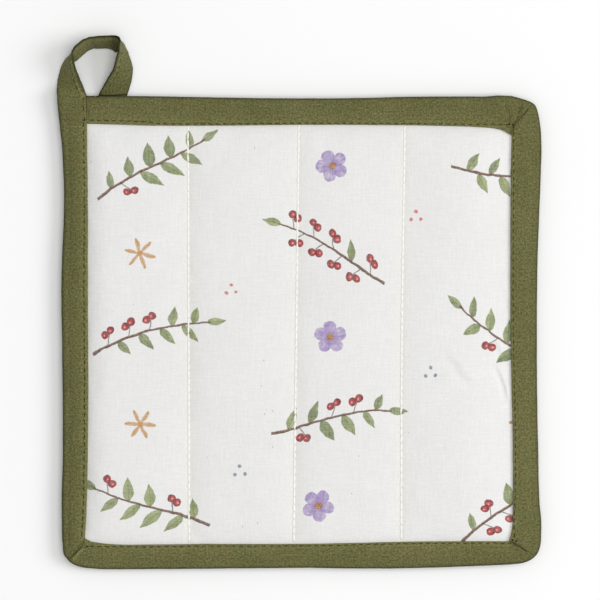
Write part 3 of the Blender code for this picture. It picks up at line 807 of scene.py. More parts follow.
# The hanging loop: the strip's free end, folded flat, its two long edges in millimetres
loopLook = {
    "edges": [  # outer x, y, z, then the inner edge, which stands up in the arch
        (-101.6, 84.0, 4.85, -89.3, 84.0, 4.85),
        (-101.75, 85.6, 4.85, -89.3, 85.6, 4.85),
        (-101.85, 87.0, 4.7, -89.35, 87.0, 4.8),
        (-101.95, 88.6, 3.9, -90.0, 88.6, 5.4),
        (-101.8, 90.7, 2.7, -90.8, 90.5, 7.0),
        (-101.35, 93.9, 1.6, -91.9, 93.2, 9.2),
        (-100.7, 97.1, 1.0, -93.1, 95.8, 10.7),
        (-99.6, 100.0, 0.8, -94.1, 98.5, 11.7),
        (-97.9, 102.6, 0.8, -94.85, 101.2, 12.2),
        (-96.6, 103.3, 0.8, -95.2, 103.8, 12.2),
        (-95.6, 102.3, 0.8, -95.0, 105.6, 11.9),
        (-94.6, 101.75, 0.8, -94.3, 107.2, 11.5),
        (-91.8, 104.1, 0.8, -92.4, 108.95, 11.6),
        (-88.8, 106.5, 0.8, -90.4, 110.4, 11.7),
        (-86.1, 107.2, 0.8, -87.4, 111.2, 11.8),
        (-83.4, 107.45, 0.8, -84.4, 111.7, 11.8),
        (-80.7, 107.4, 0.8, -81.2, 111.85, 11.7),
        (-78.6, 106.7, 0.8, -78.1, 112.0, 11.5),
        (-77.1, 105.7, 0.8, -76.1, 111.75, 11.6),
        (-75.9, 107.1, 0.8, -75.1, 110.8, 11.9),
        (-74.8, 109.1, 0.8, -75.2, 109.2, 12.3),
        (-73.9, 108.1, 0.8, -75.4, 107.3, 12.2),
        (-72.8, 105.5, 0.8, -75.8, 105.0, 11.8),
        (-71.5, 102.6, 0.8, -76.6, 102.1, 11.0),
        (-70.7, 100.2, 0.8, -77.4, 99.6, 9.9),
        (-70.3, 98.4, 0.8, -78.2, 97.4, 8.5),
        (-70.5, 94.8, 0.8, -80.35, 94.4, 6.0),
        (-71.4, 91.0, 0.9, -82.6, 90.9, 3.2),
        (-72.4, 87.4, 1.05, -84.5, 87.4, 1.2),
        (-73.2, 83.9, 1.05, -85.1, 83.9, 1.05),
        (-73.4, 80.9, 1.05, -85.3, 80.9, 1.05),
    ],
    "thickness": [(0, 3.2), (1, 3.4), (2, 3.2), (3, 2.7), (4, 2.1), (5, 1.7), (7, 1.5), (30, 1.5)],
    "stations": 260,
    "foldFromEdge": 1.8,      # the upper layers end this far from the inner edge
    "foldDrop": 0.4,
    "stitchFromEdge": 2.5,
    "stitchSpan": (3.2, 3.4),  # rows of the table left bare at each end
    "lowest": 0.12,           # above the table
    "paintedTone": 1.04,              # tone of the strip away from its painted edge shade
    "edgeShade": (0.75, 0.55),  # painted shade along both edges: share of the tone lost, reach
    "ridge": (0.4, 1.9, 0.5),  # a painted highlight on the pressed fold: gain, place from the inner edge, reach
    "shaded": [  # painted shade: share of the tone lost (less than nothing is painted light), place along the strip, reach
        (0.45, 40.4, 1.9), (0.17, 62.0, 15.0), (-0.07, 36.0, 7.0)],
    "creases": [  # place along the strip, height, reach
        (9.6, 0.22, 0.5), (12.4, -0.16, 0.6), (30.5, 0.3, 0.9), (47.0, 0.25, 0.8), (60.0, 0.22, 0.9)],
    "sewing": {"Pitch": stitchPitch, "Hole Depth": 0.14, "Hole Reach": 0.8, "Groove Depth": 0.12,
               "Groove Reach": 0.9, "Ripple Height": 0.14, "Ripple Size": 7},
}


def loopFrames(at):
    # edges, width direction, facing and thickness at places along the strip
    table = smoothTable([(k, *row) for k, row in enumerate(loopLook["edges"])])
    rows = table(at)
    outer, inner = rows[:, :3], rows[:, 3:]
    before, after = table(at - 0.2), table(at + 0.2)
    along = (after - before)[:, :3] + (after - before)[:, 3:]
    across = inner - outer
    width = np.linalg.norm(across, axis=1, keepdims=True)
    facing = np.cross(across, along)
    facing /= np.linalg.norm(facing, axis=1, keepdims=True)
    thickness = smoothTable(loopLook["thickness"])(at)
    middle = (outer + inner) / 2
    travelled = np.concatenate([[0.0], np.cumsum(np.linalg.norm(np.diff(middle, axis=0), axis=1))])
    return outer, across / width, width, facing, thickness, travelled


def loopSection():
    # share of the width, shift, then height as a share of half the thickness and in millimetres
    fold, drop = loopLook["foldFromEdge"], loopLook["foldDrop"]
    upper = [(0.0, 0.02, 0.35, 0.0), (0.0, 0.12, 0.68, 0.0), (0.0, 0.35, 0.9, 0.0), (0.0, 0.8, 1.0, 0.0),
             (0.0, 2.0, 1.0, 0.03), (0.3, 0.0, 1.0, 0.06), (0.5, 0.0, 1.0, 0.07), (0.66, 0.0, 1.0, 0.03),
             (1.0, -fold - 1.1, 1.0, 0.0), (1.0, -fold - 0.55, 1.0, 0.0), (1.0, -fold - 0.2, 1.0, 0.0),
             (1.0, -fold, 1.0, -0.08), (1.0, -fold + 0.07, 1.0, -drop * 0.55),
             (1.0, -fold + 0.06, 1.0, -drop * 0.95),
             (1.0, -fold + 0.35, 1.0, -drop), (1.0, -0.9, 1.0, -drop), (1.0, -0.35, 0.85, -drop),
             (1.0, -0.08, 0.5, -drop)]
    lower = [(1.0, -0.02, -0.2, 0.0), (1.0, -0.15, -0.68, 0.0), (1.0, -0.4, -0.9, 0.0),
             (1.0, -0.9, -1.0, 0.0), (1.0, -2.2, -1.0, 0.0), (0.66, 0.0, -1.0, -0.02),
             (0.5, 0.0, -1.0, -0.04), (0.3, 0.0, -1.0, -0.03), (0.0, 2.0, -1.0, 0.0),
             (0.0, 0.8, -1.0, 0.0), (0.0, 0.35, -0.9, 0.0), (0.0, 0.12, -0.68, 0.0)]
    return upper + lower


def makeLoop():
    count = loopLook["stations"]
    at = np.linspace(0, len(loopLook["edges"]) - 1, count)
    outer, across, width, facing, thickness, travelled = loopFrames(at)
    share, shift, part, rise = (np.array(column)[None, :] for column in zip(*loopSection()))
    sideways = width * share + shift
    height = thickness / 2 * part + rise
    bend = sum(size * np.exp(-((travelled - place) / spread)**2)
               for place, size, spread in loopLook["creases"])[:, None]
    points = (outer[:, None] + across[:, None] * sideways[..., None]
              + facing[:, None] * (height + bend)[..., None])
    points[..., 2] = np.maximum(points[..., 2], loopLook["lowest"])
    # unrolled places: once round the strip by the way along it
    ring = np.stack([sideways, height], -1)
    steps = np.linalg.norm(np.diff(np.concatenate([ring, ring[:, :1]], axis=1), axis=1), axis=-1)
    run = np.pad(np.cumsum(steps, axis=1), ((0, 0), (1, 0)))
    cloth = np.stack([run, np.broadcast_to(travelled[:, None], run.shape)], -1) * mm
    number = np.arange(height.size).reshape(height.shape)
    faces, uvs = bandFaces(number, cloth, closed=False)
    for i in (0, count - 1):  # the two ends, closed across the strip
        faces.append(tuple(int(n) for n in number[i]))
        uvs += list(cloth[i, :-1])
    # painted shade along both edges, a painted highlight on the pressed fold, and painted shade or light at
    # places along the strip
    loss, reach = loopLook["edgeShade"]
    tone = loopLook["paintedTone"] - loss * np.exp(-(np.minimum(sideways, width - sideways) / reach)**2)
    gain, fromEdge, reach = loopLook["ridge"]
    tone += gain * np.exp(-((width - sideways - fromEdge) / reach)**2)
    for loss, place, reach in loopLook["shaded"]:
        tone *= 1 - loss * np.exp(-((travelled - place) / reach)**2)[:, None]
    return tidyMesh(meshObject("hangingLoop", points.reshape(-1, 3), faces, uvs, tone))


def loopStitchLines():
    first, last = loopLook["stitchSpan"]
    at = np.linspace(first, len(loopLook["edges"]) - last, 160)
    outer, across, width, facing, thickness, _ = loopFrames(at)
    upper = outer + across * (width - loopLook["stitchFromEdge"]) + facing * thickness / 2
    return [upper.tolist()]


def seamStitchLines(panel):
    # down each quilting seam, laid on the panel's own front and back
    lines = []
    for side in (1, -1):
        for seam in range(3):
            line = []
            for t in np.linspace(0.0, 1.0, 120):
                x = float(seamX(seam, t))
                low, high = float(edge("bottomSewn", x)), float(edge("topSewn", x))
                y = blend(low + padLook["seamEnds"], high - padLook["seamEnds"], t)
                start = Vector((x, y, 30.0 * side)) * mm  # from well outside
                hit, place, _, _ = panel.ray_cast(start, Vector((0.0, 0.0, -side)))
                line.append(tuple(Vector(place) / mm) if hit else (x, y, padLook["frontAtEdge"]))
            lines.append(line)
    return lines


# Materials. Cotton is woven from the piece's own places or its unrolled UV map, in metres
def axes(tree, vector):
    parts = addNode(tree, "ShaderNodeSeparateXYZ", {"Vector": vector}).outputs
    return [Field(tree, part) for part in parts]


def channels(tree, colour):
    parts = addNode(tree, "ShaderNodeSeparateColor", {"Color": colour}).outputs
    return [Field(tree, part) for part in parts[:3]]


def stretched(tree, place, stretch, turn=0.0):
    return addNode(tree, "ShaderNodeMapping", {
        "Vector": place, "Scale": stretch, "Rotation": (0.0, 0.0, turn)}).outputs[0]


def noiseAt(tree, place, scale, detail=3.0, roughness=0.55, output="Fac"):
    return Field(tree, addNode(tree, "ShaderNodeTexNoise", {
        "Vector": place, "Scale": scale, "Detail": detail, "Roughness": roughness}).outputs[output])


def mixColour(tree, share, a, b):
    a, b = ((*colour, 1.0) if isinstance(colour, tuple) else colour for colour in (a, b))
    return addNode(tree, "ShaderNodeMix", {0: share, 6: a, 7: b}, data_type="RGBA").outputs[2]


def newMaterial(name, finish):
    material = bpy.data.materials.new(name)
    material.use_nodes = True
    shader = material.node_tree.nodes["Principled BSDF"]
    for label, value in finish.items():
        shader.inputs[label].default_value = value
    return material, material.node_tree, shader


def weaveNodes(tree, place, pitch):
    # the height of over-and-under threads, then how thick the threads run at a place
    wander = noiseAt(tree, place, 0.12 / pitch, 2.0, 0.5, "Color")
    offset = vectorCalc(tree, "SUBTRACT", wander, (0.5, 0.5, 0.5))
    shifted = vectorCalc(tree, "ADD", place, vectorCalc(tree, "SCALE", offset, scale=pitch * 2.6))
    x, y, _ = axes(tree, vectorCalc(tree, "SCALE", shifted, scale=math.pi / pitch))
    across, along = x.cosine(), y.cosine()
    both = across * along
    height = (across.size() + both).most(along.size() - both) * 0.5
    long, short = 0.075 / pitch, 0.8 / pitch
    thick = noiseAt(tree, stretched(tree, place, (short, long, short)), 1.0, 2.0, 0.6)
    thin = noiseAt(tree, stretched(tree, place, (long, short, long)), 1.0, 2.0, 0.6)
    return height, thick + thin


def shadeBeside(tree, place, lines):
    # the share of the colour that is kept beside lines on the cloth, as painted shade or tint:
    # the distance to each stretch of line, then a soft fall
    x, y, _ = axes(tree, place)
    shade = None
    for line, strength, reach in lines:
        for (ax, ay), (bx, by) in zip(line, line[1:]):
            dx, dy = (bx - ax) * mm, (by - ay) * mm
            fromX, fromY = x - ax * mm, y - ay * mm
            run = ((fromX * dx + fromY * dy) / (dx * dx + dy * dy)).spread(0.0, 1.0)
            offX, offY = fromX - run * dx, fromY - run * dy
            away = (offX * offX + offY * offY) / (reach * mm)**2
            part = (away * -1.0).exponent() * strength
            if shade is None:
                shade = part
            elif strength > 0:
                shade = shade.most(part)
            else:  # a painted highlight line lightens what is there
                shade = shade + part
    return shade * -1.0 + 1.0


def clothMaterial(name, look, printed=None):
    # printed cotton is woven from the piece's own places, dyed tape from its UV map
    material, tree, shader = newMaterial(name, {
        "Roughness": look["roughness"], "Sheen Weight": look["sheen"], "Sheen Roughness": 0.5,
        "Specular IOR Level": look["gloss"]})
    places = addNode(tree, "ShaderNodeTexCoord").outputs
    solid = places["Object"]
    place = solid if printed else places["UV"]
    height, slub = weaveNodes(tree, place, look["pitch"])
    cloud = noiseAt(tree, solid, look["cloudScale"], 4.0).spread(0.0, 1.0, 0.3, 0.7)
    colour = mixColour(tree, cloud, look["dark"], look["light"])
    patch = noiseAt(tree, solid, look["patchScale"], 2.0).spread(0.0, look["patchShare"], 0.4, 0.62)
    colour = mixColour(tree, patch, colour, look["tint"])
    grain = noiseAt(tree, place, look["grainScale"], 2.0, 0.7)
    hue = noiseAt(tree, place, look["grainScale"] * 0.7, 1.0).spread(0.0, look["tintShare"], 0.38, 0.62)
    colour = mixColour(tree, hue, colour, look["tint"])
    if printed:
        colour = printed(tree, places, colour, slub)
        # a painted warm tint of bounce light beside the seams
        bounceTint = joined(tree, 1.0, 1.0, shadeBeside(tree, solid, look["seamBounceTint"]))  # less blue there
        colour = vectorCalc(tree, "MULTIPLY", colour, bounceTint)
    else:
        # painted shade and highlight: the tone carried by the mesh, times painted lines of shade and
        # highlight
        paintedTone = Field(tree, addNode(tree, "ShaderNodeAttribute", attribute_name="dyeTone").outputs["Fac"])
        colour = vectorCalc(tree, "SCALE", colour, scale=paintedTone * shadeBeside(tree, solid, look["creases"]))
    shade = (slub.spread(1 - look["slub"], 1 + look["slub"], 0.7, 1.3)
             * height.spread(1 - look["hollow"], 1.0, 0.1, 0.8)
             * grain.spread(1 - look["grain"], 1 + look["grain"], 0.3, 0.7))
    fleck = addNode(tree, "ShaderNodeTexVoronoi", {
        "Vector": stretched(tree, place, (1.0, 0.55, 1.0), 0.6), "Scale": look["fleckScale"]}).outputs
    chance = channels(tree, fleck["Color"])[0]
    spot = Field(tree, fleck["Distance"]).under(0.11) * chance.over(1 - look["flecks"])
    shade = shade * (spot * -look["fleckDepth"] + 1.0)
    tree.links.new(vectorCalc(tree, "SCALE", colour, scale=shade), shader.inputs["Base Color"])
    relief = height + slub * 0.6 + grain * look["grain"] * 4.0
    bump = addNode(tree, "ShaderNodeBump", {
        "Height": relief, "Strength": look["bump"], "Distance": look["pitch"] * 0.3})
    tree.links.new(bump.outputs[0], shader.inputs["Normal"])
    return material


naturalCotton = {
    "light": (0.836, 0.829, 0.811), "dark": (0.807, 0.798, 0.779),
    "tint": (0.792, 0.792, 0.792), "tintShare": 0.3, "patchScale": 60.0, "patchShare": 0.2,
    "pitch": 0.00052, "roughness": 0.9, "sheen": 0.05, "gloss": 0.2, "cloudScale": 26.0,
    "grainScale": 1300.0, "grain": 0.025, "slub": 0.035, "hollow": 0.07,
    "fleckScale": 420.0, "flecks": 0.035, "fleckDepth": 0.3, "bump": 0.35,
    "seamBounceTint": [  # a painted warm tint of light bounced in the grooves beside the seams: places in millimetres, share of the blue lost, reach
        (tuple(zip(seam, (75.0, -13.0, -101.0))), loss, 2.9)
        for seam, loss in zip(padLook["seams"], (0.03, 0.03, 0.028))],
}
oliveCotton = {
    "light": (0.178, 0.164, 0.063), "dark": (0.143, 0.134, 0.048),
    "tint": (0.141, 0.159, 0.062), "tintShare": 0.25, "patchScale": 150.0, "patchShare": 0.35,
    "pitch": 0.00055, "roughness": 0.92, "sheen": 0.03, "gloss": 0.15, "cloudScale": 60.0,
    "grainScale": 1250.0, "grain": 0.5, "slub": 0.13, "hollow": 0.28,
    "fleckScale": 500.0, "flecks": 0.02, "fleckDepth": -0.35, "bump": 0.5,
    "creases": [  # painted shade along creases, edges and where parts meet: places in millimetres, share of the tone lost (less than nothing is a painted highlight), reach
        (((86.3, 82.8), (87.3, 81.4), (88.1, 80.7), (88.3, 78.2), (88.3, 75.3)), 0.4, 0.25),
        (((92.95, 82.4), (92.5, 81.3), (91.9, 80.0)), 0.35, 0.25),
        (((90.6, 75.0), (91.3, 76.2), (92.8, 78.3), (94.2, 80.2)), 0.3, 0.25),
        (((-84.6, 86.9), (-84.2, 87.25), (-79.3, 87.15), (-75.1, 87.4), (-72.6, 87.7)), 0.75, 0.38),
        (((-101.0, 86.5), (-96.0, 86.3), (-91.4, 86.6)), 0.22, 0.25),
        (((-89.6, 86.9), (-89.5, 78.0)), 0.12, 0.22),
        (((-86.5, 111.5), (-84.0, 112.0), (-77.8, 112.05), (-76.0, 111.2), (-75.2, 109.9)), 0.8, 0.45),
        (((-91.6, -102.6), (-94.2, -105.2), (-95.6, -106.9)), 0.3, 0.25),
        (((89.3, -100.3), (91.6, -101.8), (93.6, -103.1), (95.2, -104.3)), 0.62, 0.42),
        (((93.4, 80.5), (92.1, 78.9), (90.3, 76.8)), -0.34, 0.35),
        (((-90.8, -103.2), (-93.2, -105.8), (-94.9, -107.8)), -0.5, 0.3),
        (((-90.05, 86.6), (-89.95, 77.5)), -0.28, 0.25),
        (((-95.6, 101.5), (-93.5, 96.0), (-90.6, 89.6)), -0.2, 0.3),
    ],
}

# The printed design, in millimetres: leafy sprigs with berries on a half-drop repeat,
# a flower or a star in the space between them, and scattered dots
printLook = {
    "scale": 1.22, "column": 62.0, "row": 58.0, "shift": (20.0, 12.0),
    "wobble": 0.55, "soft": 0.13,
    "lean": (-0.15, 0.75), "reach": 21.0, "bend": 2.6, "bendRun": 13.0, "stem": 0.42,
    "leafStep": 7.6, "leafLength": 8.8, "leafWidth": 1.9, "leafAngle": 62.0, "beforeLeaf": 1.5, "rib": 0.16,
    "berries": 0.36, "berrySize": 1.4, "berryPlaces": ((5.3, 0.0), (3.5, 1.6)), "stalk": 0.17,
    "flowerSize": 5.6, "flowerEye": 1.35, "starSize": 5.4, "starEye": 0.9, "stars": 0.45, "between": 6.0,
    "dotSize": 0.62, "dotPlaces": ((0.0, 1.5), (1.7, -1.0), (-1.6, -1.2)), "dotRoom": (9.0, 12.0),
    "bark": ((0.052, 0.024, 0.016), (0.27, 0.145, 0.095)),
    "sage": ((0.12, 0.16, 0.055), (0.40, 0.45, 0.20)),
    "berry": ((0.20, 0.018, 0.018), (0.58, 0.065, 0.06)), "glint": (0.86, 0.62, 0.60),
    "rose": (0.60, 0.17, 0.24), "lilac": (0.30, 0.20, 0.47), "palePetal": (0.84, 0.80, 0.80),
    "slate": (0.13, 0.16, 0.25), "ochre": (0.55, 0.28, 0.07), "paleStar": (0.72, 0.70, 0.68),
}


def cellOf(x, y, shiftX, shiftY):
    # column and row of the repeat, and the place inside it measured from its middle
    column, row = printLook["column"], printLook["row"]
    across = (x + shiftX) / column
    i = across.floor()
    odd = i - (i * 0.5).floor() * 2.0
    upward = (y + shiftY) / row + odd * 0.5
    j = upward.floor()
    return i, j, (across - i - 0.5) * column, (upward - j - 0.5) * row


def chances(tree, i, j, k):
    noise = addNode(tree, "ShaderNodeTexWhiteNoise", {
        "Vector": joined(tree, i, j, k)}, noise_dimensions="3D")
    return channels(tree, noise.outputs["Color"])


def turnedBy(x, y, angle):
    c, s = angle.cosine(), angle.sine()
    return x * c + y * s, y * c - x * s


def awayFrom(x, y, atX=0.0, atY=0.0):
    return ((x - atX).power(2.0) + (y - atY).power(2.0)).power(0.5)


def filled(distance):
    # 1 inside a drawn shape, 0 outside it, with a soft edge
    soft = printLook["soft"]
    return distance.spread(1.0, 0.0, -soft, soft, smooth=True)


def leafShape(l, m, length):
    # a pointed leaf, l along its rib and m away from it
    along = (l / length).spread(0.0, 1.0)
    slim = printLook["leafWidth"] / printLook["leafLength"]
    width = (along.power(0.75) * math.pi).sine() * length * slim
    return filled(m.size() - width + printLook["soft"])


def printDesign(tree, places, cloth, slub):
    look = printLook
    point = vectorCalc(tree, "SCALE", places["Object"], scale=1000.0 / look["scale"])
    x, y, _ = axes(tree, point)
    waveX, waveY, _ = channels(tree, noiseAt(tree, point, 0.35, 3.0, 0.5, "Color"))
    x = x + (waveX - 0.5) * (2 * look["wobble"])
    y = y + (waveY - 0.5) * (2 * look["wobble"])
    wash = noiseAt(tree, point, 0.45, 3.0, 0.6).spread(0.0, 1.0, 0.3, 0.7)
    fine = noiseAt(tree, point, 1.9, 2.0, 0.6)
    colour = cloth

    def paint(shape, ink, strength=0.97):
        nonlocal colour
        colour = mixColour(tree, shape * strength, colour, ink)

    # a sprig in every cell, leaning its own way
    i, j, u, v = cellOf(x, y, *look["shift"])
    lean, flip, bow = chances(tree, i, j, 1.0)
    u = u * (flip.over(0.5) * 2.0 - 1.0)
    u, v = turnedBy(u, v, lean.spread(*look["lean"]))
    v = v - (u / look["bendRun"] + bow * 6.0).sine() * look["bend"]
    side = v.under(0.0)
    away = v.size()
    # leaves and berries stand at even steps, those below the stem half a step on
    step, before = look["leafStep"], look["beforeLeaf"]
    run = (u + side * (step / 2) + before) / step
    k = run.floor()
    s = (run - k) * step - before
    root = k * step - side * (step / 2)
    turn = math.radians(look["leafAngle"])
    l = s * math.cos(turn) + away * math.sin(turn)
    m = away * math.cos(turn) - s * math.sin(turn)
    chance, tone, grow = chances(tree, i * 7.0 + k, j * 5.0 + side, 2.0)
    here = root.size().under(look["reach"] - 2.0)
    isBerry = chance.over(1 - look["berries"])
    slim = (root / look["reach"]).power(2.0) * -0.35 + 1.0
    length = slim * grow.spread(0.85, 1.1) * look["leafLength"]
    leaf = leafShape(l, m, length) * here * (isBerry * -1.0 + 1.0)
    endLeaf = leafShape(u - look["reach"] + 1.2, v, u * 0.0 + look["leafLength"] * 0.8)
    leafInk = mixColour(tree, wash * 0.6 + tone * 0.4, *look["sage"])
    darkInk = mixColour(tree, 0.62, leafInk, look["sage"][0])
    half = m.over(0.0) * 0.45 + u.over(look["reach"] - 1.0) * 0.1
    paint(leaf, leafInk, 0.93)
    paint(leaf * half, darkInk, 0.55)
    paint(endLeaf, leafInk, 0.93)
    rib = look["rib"]
    paint(filled(m.size() - rib) * leaf.over(0.5) + filled(v.size() - rib) * endLeaf.over(0.5), darkInk, 0.8)
    vein = ((l - m.size() * 1.3) * 4.6).sine().over(0.55) * leaf.over(0.5)
    paint(vein, darkInk, 0.35)
    stalk = filled((m.size() - look["stalk"]).most((l - 2.6).size() - 2.6)) * isBerry * here
    paint(stalk, look["bark"][0], 0.8)
    for atL, atM in look["berryPlaces"]:
        ball = filled(awayFrom(l, m, atL, atM) - look["berrySize"]) * isBerry * here
        paint(ball, look["berry"][0])
        glow = awayFrom(l, m, atL - 0.25, atM + 0.25)
        lit = glow.spread(1.0, 0.0, 0.25, look["berrySize"] * 0.95, smooth=True)
        paint(ball * lit, look["berry"][1], 0.9)
        paint(ball * filled(glow - 0.28), look["glint"], 0.6)
    # the stem over them, thinner towards its tip
    thin = (u + look["reach"]) / (2 * look["reach"]) * -0.55 + 1.25
    edgeOn = (v.size() - thin * look["stem"]).most(u.size() - look["reach"])
    paint(filled(edgeOn), mixColour(tree, v.spread(0.0, 1.0, -0.4, 0.4) * 0.6 + fine * 0.4, *look["bark"]))

    # a flower or a star midway between the sprigs
    i, j, u, v = cellOf(x, y, look["shift"][0], look["shift"][1] + look["row"] / 2)
    offX, offY, spin = chances(tree, i, j, 3.0)
    kind, tint, _ = chances(tree, i, j, 4.0)
    u = u + (offX - 0.5) * (2 * look["between"])
    v = v + (offY - 0.5) * look["between"]
    far = awayFrom(u, v)
    turned = v.angleFrom(u) + spin * 6.28
    isStar = kind.over(1 - look["stars"])
    isFlower = isStar * -1.0 + 1.0
    petal = (turned * 2.5).cosine().size().power(0.55)
    petalInk = mixColour(tree, tint.over(0.5), look["rose"], look["lilac"])
    paleInk = mixColour(tree, 0.55, petalInk, look["palePetal"])
    shape = filled(far - (petal * 0.42 + 0.58) * look["flowerSize"]) * isFlower
    paint(shape, mixColour(tree, wash, petalInk, paleInk))
    paint(shape * (far / look["flowerSize"]).spread(1.0, 0.0, 0.15, 0.6, smooth=True), petalInk, 0.8)
    paint(shape * (turned * 20.0).sine().over(0.6) * far.over(2.0), petalInk, 0.35)
    paint(shape * petal.under(0.30), petalInk, 0.7)
    eyeInk = mixColour(tree, fine.over(0.5), look["ochre"], look["bark"][1])
    paint(filled(far - look["flowerEye"]) * isFlower, eyeInk)
    ray = (turned * 3.0).cosine().size()
    starInk = mixColour(tree, tint.over(0.5), look["slate"], look["ochre"])
    shape = filled(far - (ray.power(3.0) * 0.8 + 0.2) * look["starSize"]) * isStar
    paint(shape, mixColour(tree, wash * 0.6, starInk, look["paleStar"]))
    paint(shape * ray.over(0.985), starInk, 0.8)
    paint(filled(far - look["starEye"]) * isStar, starInk)

    # dots in threes, between the columns
    i, j, u, v = cellOf(x, y, look["shift"][0] + look["column"] / 2, look["shift"][1] + look["row"] / 4)
    offX, offY, tint = chances(tree, i, j, 5.0)
    u = u + (offX - 0.5) * look["dotRoom"][0]
    v = v + (offY - 0.5) * look["dotRoom"][1]
    dotInk = mixColour(tree, tint.over(0.5), look["berry"][1], look["slate"])
    for place in look["dotPlaces"]:
        paint(filled(awayFrom(u, v, *place) - look["dotSize"]), dotInk, 0.8)

    # the cloth's own threads show through the ink, and only the front is printed
    through = mixColour(tree, slub.spread(0.0, 0.14, 0.8, 1.2), colour, cloth)
    up = axes(tree, places["Normal"])[2]
    return mixColour(tree, up.over(0.0), cloth, through)


threadLook = {  # lightest and darkest tone
    "creamThread": ((0.90, 0.891, 0.853), (0.865, 0.853, 0.81)),
    "oliveThread": ((0.066, 0.052, 0.010), (0.036, 0.028, 0.005)),
    "knotThread": ((0.022, 0.017, 0.004), (0.010, 0.008, 0.002)),
    # the needle holes are grey discs of painted shade
    "needleHole": ((0.64, 0.625, 0.58), (0.53, 0.515, 0.47)),
}


def threadMaterial(name, light, dark):
    # spun thread: fine slanting twist over a soft change of tone
    material, tree, shader = newMaterial(name, {"Roughness": 0.85, "Specular IOR Level": 0.2})
    place = addNode(tree, "ShaderNodeTexCoord").outputs["Object"]
    twist = Field(tree, addNode(tree, "ShaderNodeTexWave", {
        "Vector": place, "Scale": 900.0, "Distortion": 2.0, "Detail": 1.0},
        bands_direction="DIAGONAL").outputs["Fac"])
    mixed = mixColour(tree, (noiseAt(tree, place, 240.0) + twist) * 0.5, dark, light)
    tree.links.new(mixed, shader.inputs["Base Color"])
    bump = addNode(tree, "ShaderNodeBump", {"Height": twist, "Strength": 0.3, "Distance": 0.0001})
    tree.links.new(bump.outputs[0], shader.inputs["Normal"])
    return material


print("materials")
panelCloth = clothMaterial("printedCotton", naturalCotton, printed=printDesign)
oliveCloth = clothMaterial("oliveCotton", oliveCotton)
threads = {name: threadMaterial(name, *tones) for name, tones in threadLook.items()}

print("panel")
panel = makePad()
seamGuide = lineObject("seamGuide", seamStitchLines(panel))
panel = drawIn(panel, seamGuide, panelCloth, padLook["sewing"], seed=3.0)
for point in panel.data.vertices:
    point.co.z = max(point.co.z, 0.0)  # ripples don't go through the table

print("binding")
bindingGuide = lineObject("bindingGuide", bindingStitchLines())
binding = drawIn(makeBinding(), bindingGuide, oliveCloth, bindingLook["sewing"], seed=7.0)
creaseGuide = lineObject("creaseGuide", [
    [(x, y, bindingLook["creaseTop"]) for x, y in line] for line in bindingLook["creases"]])
binding = drawIn(binding, creaseGuide, oliveCloth, bindingLook["pressing"], seed=7.0)

print("hanging loop")
loopGuide = lineObject("loopGuide", loopStitchLines())
knotGuide = lineObject("knotGuide", knotLines())
loop = drawIn(makeLoop(), loopGuide, oliveCloth, loopLook["sewing"], seed=11.0, heightShare=1.0)

print("stitches")
stitchRows = {  # guide, cloth, thread, then in millimetres the length, width, height, lift and first place
    "seamStitches": (seamGuide, panel, "creamThread", 3.5, 0.9, 0.36, 0.08, stitchPitch / 2),
    # grey discs of painted shade at the seams' needle holes
    "seamHoles": (seamGuide, panel, "needleHole", 0.34, 0.32, 0.12, 0.0, 0.01),
    "bindingStitches": (bindingGuide, binding, "oliveThread", 2.2, 0.44, 0.34, 0.03, stitchPitch / 2),
    "loopStitches": (loopGuide, loop, "oliveThread", 2.0, 0.4, 0.3, 0.03, stitchPitch / 2),
    "tackKnots": (knotGuide, binding, "knotThread", 0.9, 0.75, 0.5, 0.05, 0.01),
}
sewn = {name: sewRow(name, *row) for name, row in stitchRows.items()}
for guide in (seamGuide, bindingGuide, loopGuide, knotGuide, creaseGuide):
    bpy.data.objects.remove(guide)

print("stage")
stageLook = {
    "floor": (0.94, 0.94, 0.94), "floorHalf": 4.0, "floorTop": -0.0002, "sky": 0.45,
    "lights": {  # place, size, power
        "overheadSoftbox": ((0.35, -0.05, 2.7), 2.2, 30.0),
        "keySoftbox": ((2.6, 0.1, 1.9), 1.8, 46.5)},
    "cameraHeight": 2.2, "viewWide": 0.252, "viewCentre": (0.00021, 0.0012), "viewPlane": 0.0043,
    "sensor": 36.0,
}


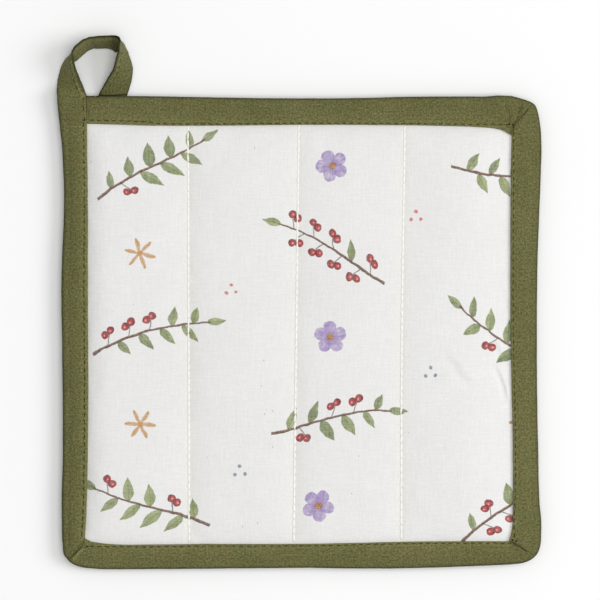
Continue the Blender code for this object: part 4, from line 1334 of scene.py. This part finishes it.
def makeFloor():
    half, top = stageLook["floorHalf"], stageLook["floorTop"]
    mesh = bpy.data.meshes.new("floor")
    mesh.from_pydata([(x * half, y * half, top) for x, y in ((-1, -1), (1, -1), (1, 1), (-1, 1))],
                     [], [(0, 1, 2, 3)])
    floor = bpy.data.objects.new("floor", mesh)
    bpy.context.scene.collection.objects.link(floor)
    material, tree, shader = newMaterial("paleFloor", {"Roughness": 0.8})
    place = addNode(tree, "ShaderNodeTexCoord").outputs["Object"]
    darker = tuple(c * 0.985 for c in stageLook["floor"])
    colour = mixColour(tree, noiseAt(tree, place, 3.0), darker, stageLook["floor"])
    tree.links.new(colour, shader.inputs["Base Color"])
    mesh.materials.append(material)
    return floor


def makeLight(name, place, size, power):
    lamp = bpy.data.lights.new(name, "AREA")
    lamp.shape, lamp.size, lamp.energy = "DISK", size, power
    made = bpy.data.objects.new(name, lamp)
    made.location = place
    made.rotation_euler = (-Vector(place)).to_track_quat("-Z", "Y").to_euler()  # aimed at the part
    bpy.context.scene.collection.objects.link(made)


floor = makeFloor()
world = bpy.data.worlds.new("studio")
world.use_nodes = True
world.node_tree.nodes["Background"].inputs["Color"].default_value = (1.0, 1.0, 1.0, 1.0)
world.node_tree.nodes["Background"].inputs["Strength"].default_value = stageLook["sky"]
bpy.context.scene.world = world
for name, (place, size, power) in stageLook["lights"].items():
    makeLight(name, place, size, power)
bpy.context.scene.view_settings.view_transform = "Standard"

camera = bpy.data.cameras.new("camera")
camera.sensor_width = stageLook["sensor"]
camera.lens = stageLook["sensor"] * stageLook["cameraHeight"] / stageLook["viewWide"]
eye = bpy.data.objects.new("camera", camera)
eye.location = (*stageLook["viewCentre"], stageLook["viewPlane"] + stageLook["cameraHeight"])
bpy.context.scene.collection.objects.link(eye)
bpy.context.scene.camera = eye

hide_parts("quilted_pad")
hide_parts("binding")
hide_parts("hanging_loop")
for piece, slot in ((panel, "printed_cotton"), (binding, "olive_cotton"), (loop, "olive_cotton"),
                    (sewn["seamStitches"], "printed_cotton"), (sewn["seamHoles"], "printed_cotton"),
                    (sewn["bindingStitches"], "olive_cotton"), (sewn["loopStitches"], "olive_cotton"),
                    (sewn["tackKnots"], "olive_cotton")):
    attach(piece, "root")

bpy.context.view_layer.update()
for name, piece in [("panel", panel), ("binding", binding), ("loop", loop), *sewn.items()]:
    print(name, len(piece.data.polygons), "faces")
